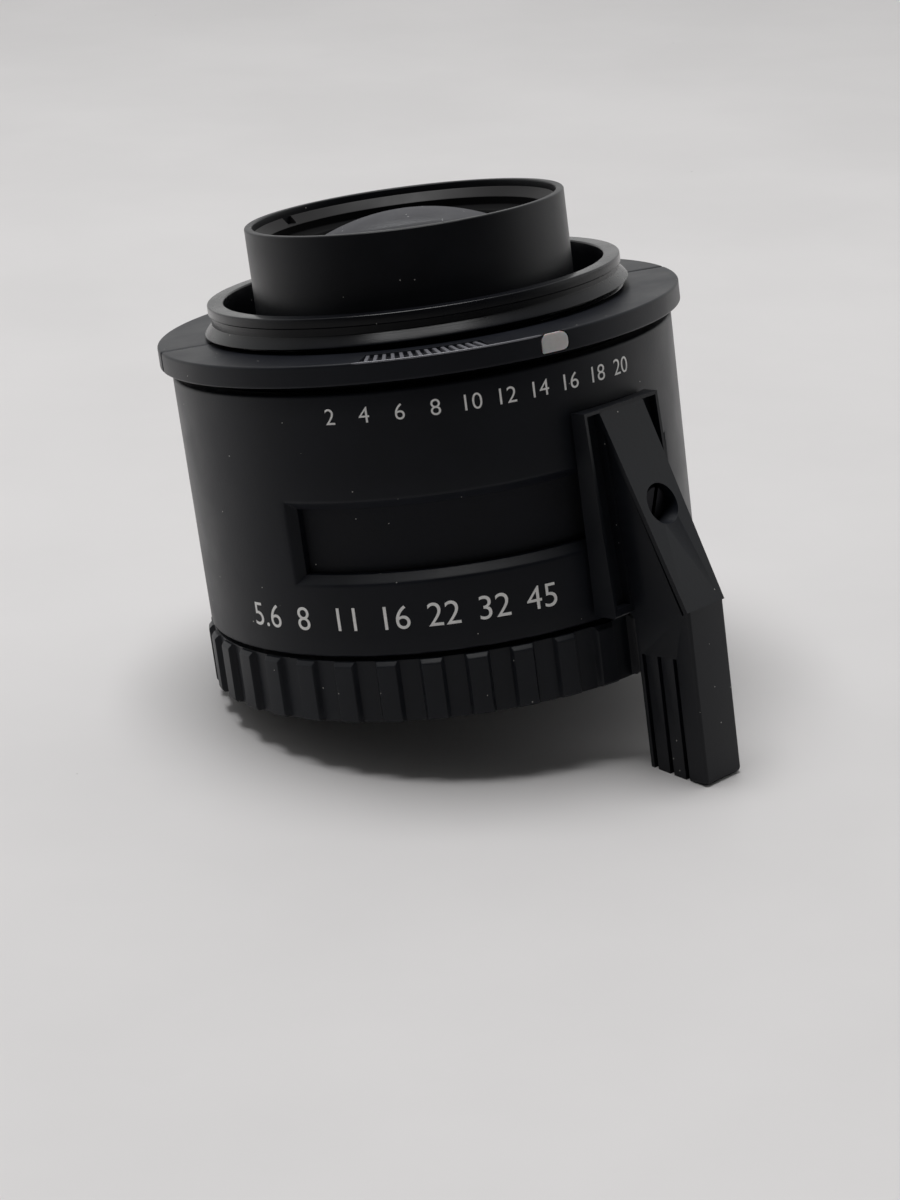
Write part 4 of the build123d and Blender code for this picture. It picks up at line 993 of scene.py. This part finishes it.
def make_lamp(name, position, target, size, power):
    """A soft box that faces a point."""
    lamp = bpy.data.lights.new(name, "AREA")
    lamp.shape = "RECTANGLE"
    lamp.size, lamp.size_y = size
    lamp.energy = power
    holder = put(name, lamp)
    holder.location = position
    holder.rotation_euler = (Vector(target) - Vector(position)).to_track_quat("-Z", "Y").to_euler()


def make_world():
    """A pale tent: brightest near the horizon behind and beside the lens, dimmer overhead, dark in front.

    Its strength is a falling step of the height, times a rising step from front to back, times a small
    rise at the sides.
    """
    world = bpy.data.worlds.new("tent")
    bpy.context.scene.world = world
    world.use_nodes = True
    tree = world.node_tree
    tree.nodes.clear()
    direction = add(tree, "ShaderNodeTexCoord").outputs["Generated"]
    parts = add(tree, "ShaderNodeSeparateXYZ", {0: direction})
    up = add(tree, "ShaderNodeMapRange", {"Value": parts.outputs["Z"], "From Min": 0.0, "From Max": 0.9,
                                          "To Min": 1.15, "To Max": 0.45}, interpolation_type="SMOOTHSTEP")
    back = add(tree, "ShaderNodeMapRange", {"Value": parts.outputs["Y"], "From Min": -0.55, "From Max": 0.32,
                                            "To Min": 0.04, "To Max": 1.0}, interpolation_type="SMOOTHSTEP")
    across = add(tree, "ShaderNodeMath", {0: parts.outputs["X"]}, operation="ABSOLUTE")
    sides = add(tree, "ShaderNodeMapRange", {"Value": across, "From Min": 0.45, "From Max": 0.95,
                                             "To Min": 1.0, "To Max": 1.15}, interpolation_type="SMOOTHSTEP")
    open_sides = add(tree, "ShaderNodeMath", {0: back, 1: sides}, operation="MULTIPLY")
    level = add(tree, "ShaderNodeMath", {0: up, 1: open_sides}, operation="MULTIPLY")
    light = add(tree, "ShaderNodeBackground", {"Color": rgba(SKY), "Strength": level})
    add(tree, "ShaderNodeOutputWorld", {"Surface": light})


def make_camera():
    """The camera, 87 mm on a 36 mm frame, 265 mm away and 15 degrees above the lens's own plane."""
    data = bpy.data.cameras.new("camera")
    data.lens = 86.72
    data.sensor_width = 36.0
    data.sensor_fit = "AUTO"
    data.clip_start = 0.005
    data.clip_end = 20.0
    camera = put("camera", data)
    pitch, roll = math.radians(-15.227), math.radians(-7.601)
    station = Vector((-0.539, -261.656, 43.462)) * MM
    camera.matrix_world = (Matrix.Translation(station) @ Matrix.Rotation(math.radians(90) + pitch, 4, "X")
                           @ Matrix.Rotation(roll, 4, "Z"))
    bpy.context.scene.camera = camera


# ---------------------------------------------------------------- operators

class LENS_OT_finishes(bpy.types.Operator):
    """Make the finishes, and give them to the inner parts that stay as they are"""
    bl_idname = "lens.finishes"
    bl_label = "Finishes and inner parts"

    def execute(self, context):
        make_materials(context.scene.lens_colours)
        for node, finish in FINISH.items():
            mesh = frame["nodes"][node].data
            mesh.materials.clear()
            mesh.materials.append(MATERIALS[finish])
        return {"FINISHED"}


class LENS_OT_barrel(bpy.types.Operator):
    """Make the moulded barrel with its bevelled slot, and the band behind the slot"""
    bl_idname = "lens.barrel"
    bl_label = "Barrel"

    def execute(self, context):
        make_barrel(context.scene.lens_sizes)
        make_carrier(context.scene.lens_sizes)
        return {"FINISHED"}


class LENS_OT_mount(bpy.types.Operator):
    """Make the threaded collar, the flange's halves, the light guide and the index window"""
    bl_idname = "lens.mount"
    bl_label = "Screw mount and flange"

    def execute(self, context):
        sizes = context.scene.lens_sizes
        make_collar(sizes)
        make_flange()
        make_guide()
        make_window()
        return {"FINISHED"}


class LENS_OT_cells(bpy.types.Operator):
    """Make the rear tube, the front cell and their retaining rings"""
    bl_idname = "lens.cells"
    bl_label = "Rear tube and front cell"

    def execute(self, context):
        make_rear_tube(context.scene.lens_sizes)
        make_front_cell(context.scene.lens_sizes)
        return {"FINISHED"}


class LENS_OT_glass(bpy.types.Operator):
    """Make the six lens elements"""
    bl_idname = "lens.glass"
    bl_label = "Glass"

    def execute(self, context):
        make_glass()
        return {"FINISHED"}


class LENS_OT_ring(bpy.types.Operator):
    """Make the fluted aperture ring"""
    bl_idname = "lens.ring"
    bl_label = "Aperture ring"

    def execute(self, context):
        make_ring(context.scene.lens_sizes)
        return {"FINISHED"}


class LENS_OT_lever(bpy.types.Operator):
    """Make the preset lever"""
    bl_idname = "lens.lever"
    bl_label = "Preset lever"

    def execute(self, context):
        make_lever(context.scene.lens_sizes)
        return {"FINISHED"}


class LENS_OT_scales(bpy.types.Operator):
    """Print the two rows of numerals on the barrel"""
    bl_idname = "lens.scales"
    bl_label = "Printed scales"

    def execute(self, context):
        sizes = context.scene.lens_sizes
        make_scale("upper_scale", ["2", "4", "6", "8", "10", "12", "14", "16", "18", "20"],
                   np.linspace(-22, 47, 10), -4.65, sizes.small_numeral / MM)
        make_scale("aperture_scale", ["5.6", "8", "11", "16", "22", "32", "45"],
                   np.linspace(-47, 19, 7), -22.6, sizes.large_numeral / MM)
        return {"FINISHED"}


class LENS_OT_stage(bpy.types.Operator):
    """Make the floor, the light and the camera"""
    bl_idname = "lens.stage"
    bl_label = "Stage"

    def execute(self, context):
        make_floor(context.scene.lens_colours)
        make_world()
        make_lamp("overhead", (0.0, -0.01, 0.7), (0, 0, 0), (0.4, 0.34), 4.2)
        make_camera()
        context.scene.view_settings.view_transform = "Standard"
        return {"FINISHED"}


class LENS_PT_panel(bpy.types.Panel):
    """Steps and settings of the lens"""
    bl_label = "Enlarger lens"
    bl_space_type = "VIEW_3D"
    bl_region_type = "UI"
    bl_category = "Lens"

    def draw(self, context):
        column = self.layout.column()
        for step in STEPS:
            column.operator(step.bl_idname)
        for group in (context.scene.lens_sizes, context.scene.lens_colours):
            for name in group.__annotations__:
                column.prop(group, name)


STEPS = (LENS_OT_finishes, LENS_OT_barrel, LENS_OT_mount, LENS_OT_cells, LENS_OT_glass, LENS_OT_ring,
         LENS_OT_lever, LENS_OT_scales, LENS_OT_stage)
CLASSES = (LensSizes, LensColours, *STEPS, LENS_PT_panel)


def register():
    """Register the classes and hang the settings on the scene."""
    for item in CLASSES:
        bpy.utils.register_class(item)
    bpy.types.Scene.lens_sizes = PointerProperty(type=LensSizes)
    bpy.types.Scene.lens_colours = PointerProperty(type=LensColours)


def unregister():
    """Take the settings and the classes away again."""
    del bpy.types.Scene.lens_colours
    del bpy.types.Scene.lens_sizes
    for item in reversed(CLASSES):
        bpy.utils.unregister_class(item)


def main():
    """Build everything in order."""
    register()
    bpy.ops.lens.finishes()
    bpy.ops.lens.barrel()
    bpy.ops.lens.mount()
    bpy.ops.lens.cells()
    bpy.ops.lens.glass()
    bpy.ops.lens.ring()
    bpy.ops.lens.lever()
    bpy.ops.lens.scales()
    bpy.ops.lens.stage()


if __name__ == "__main__":
    main()
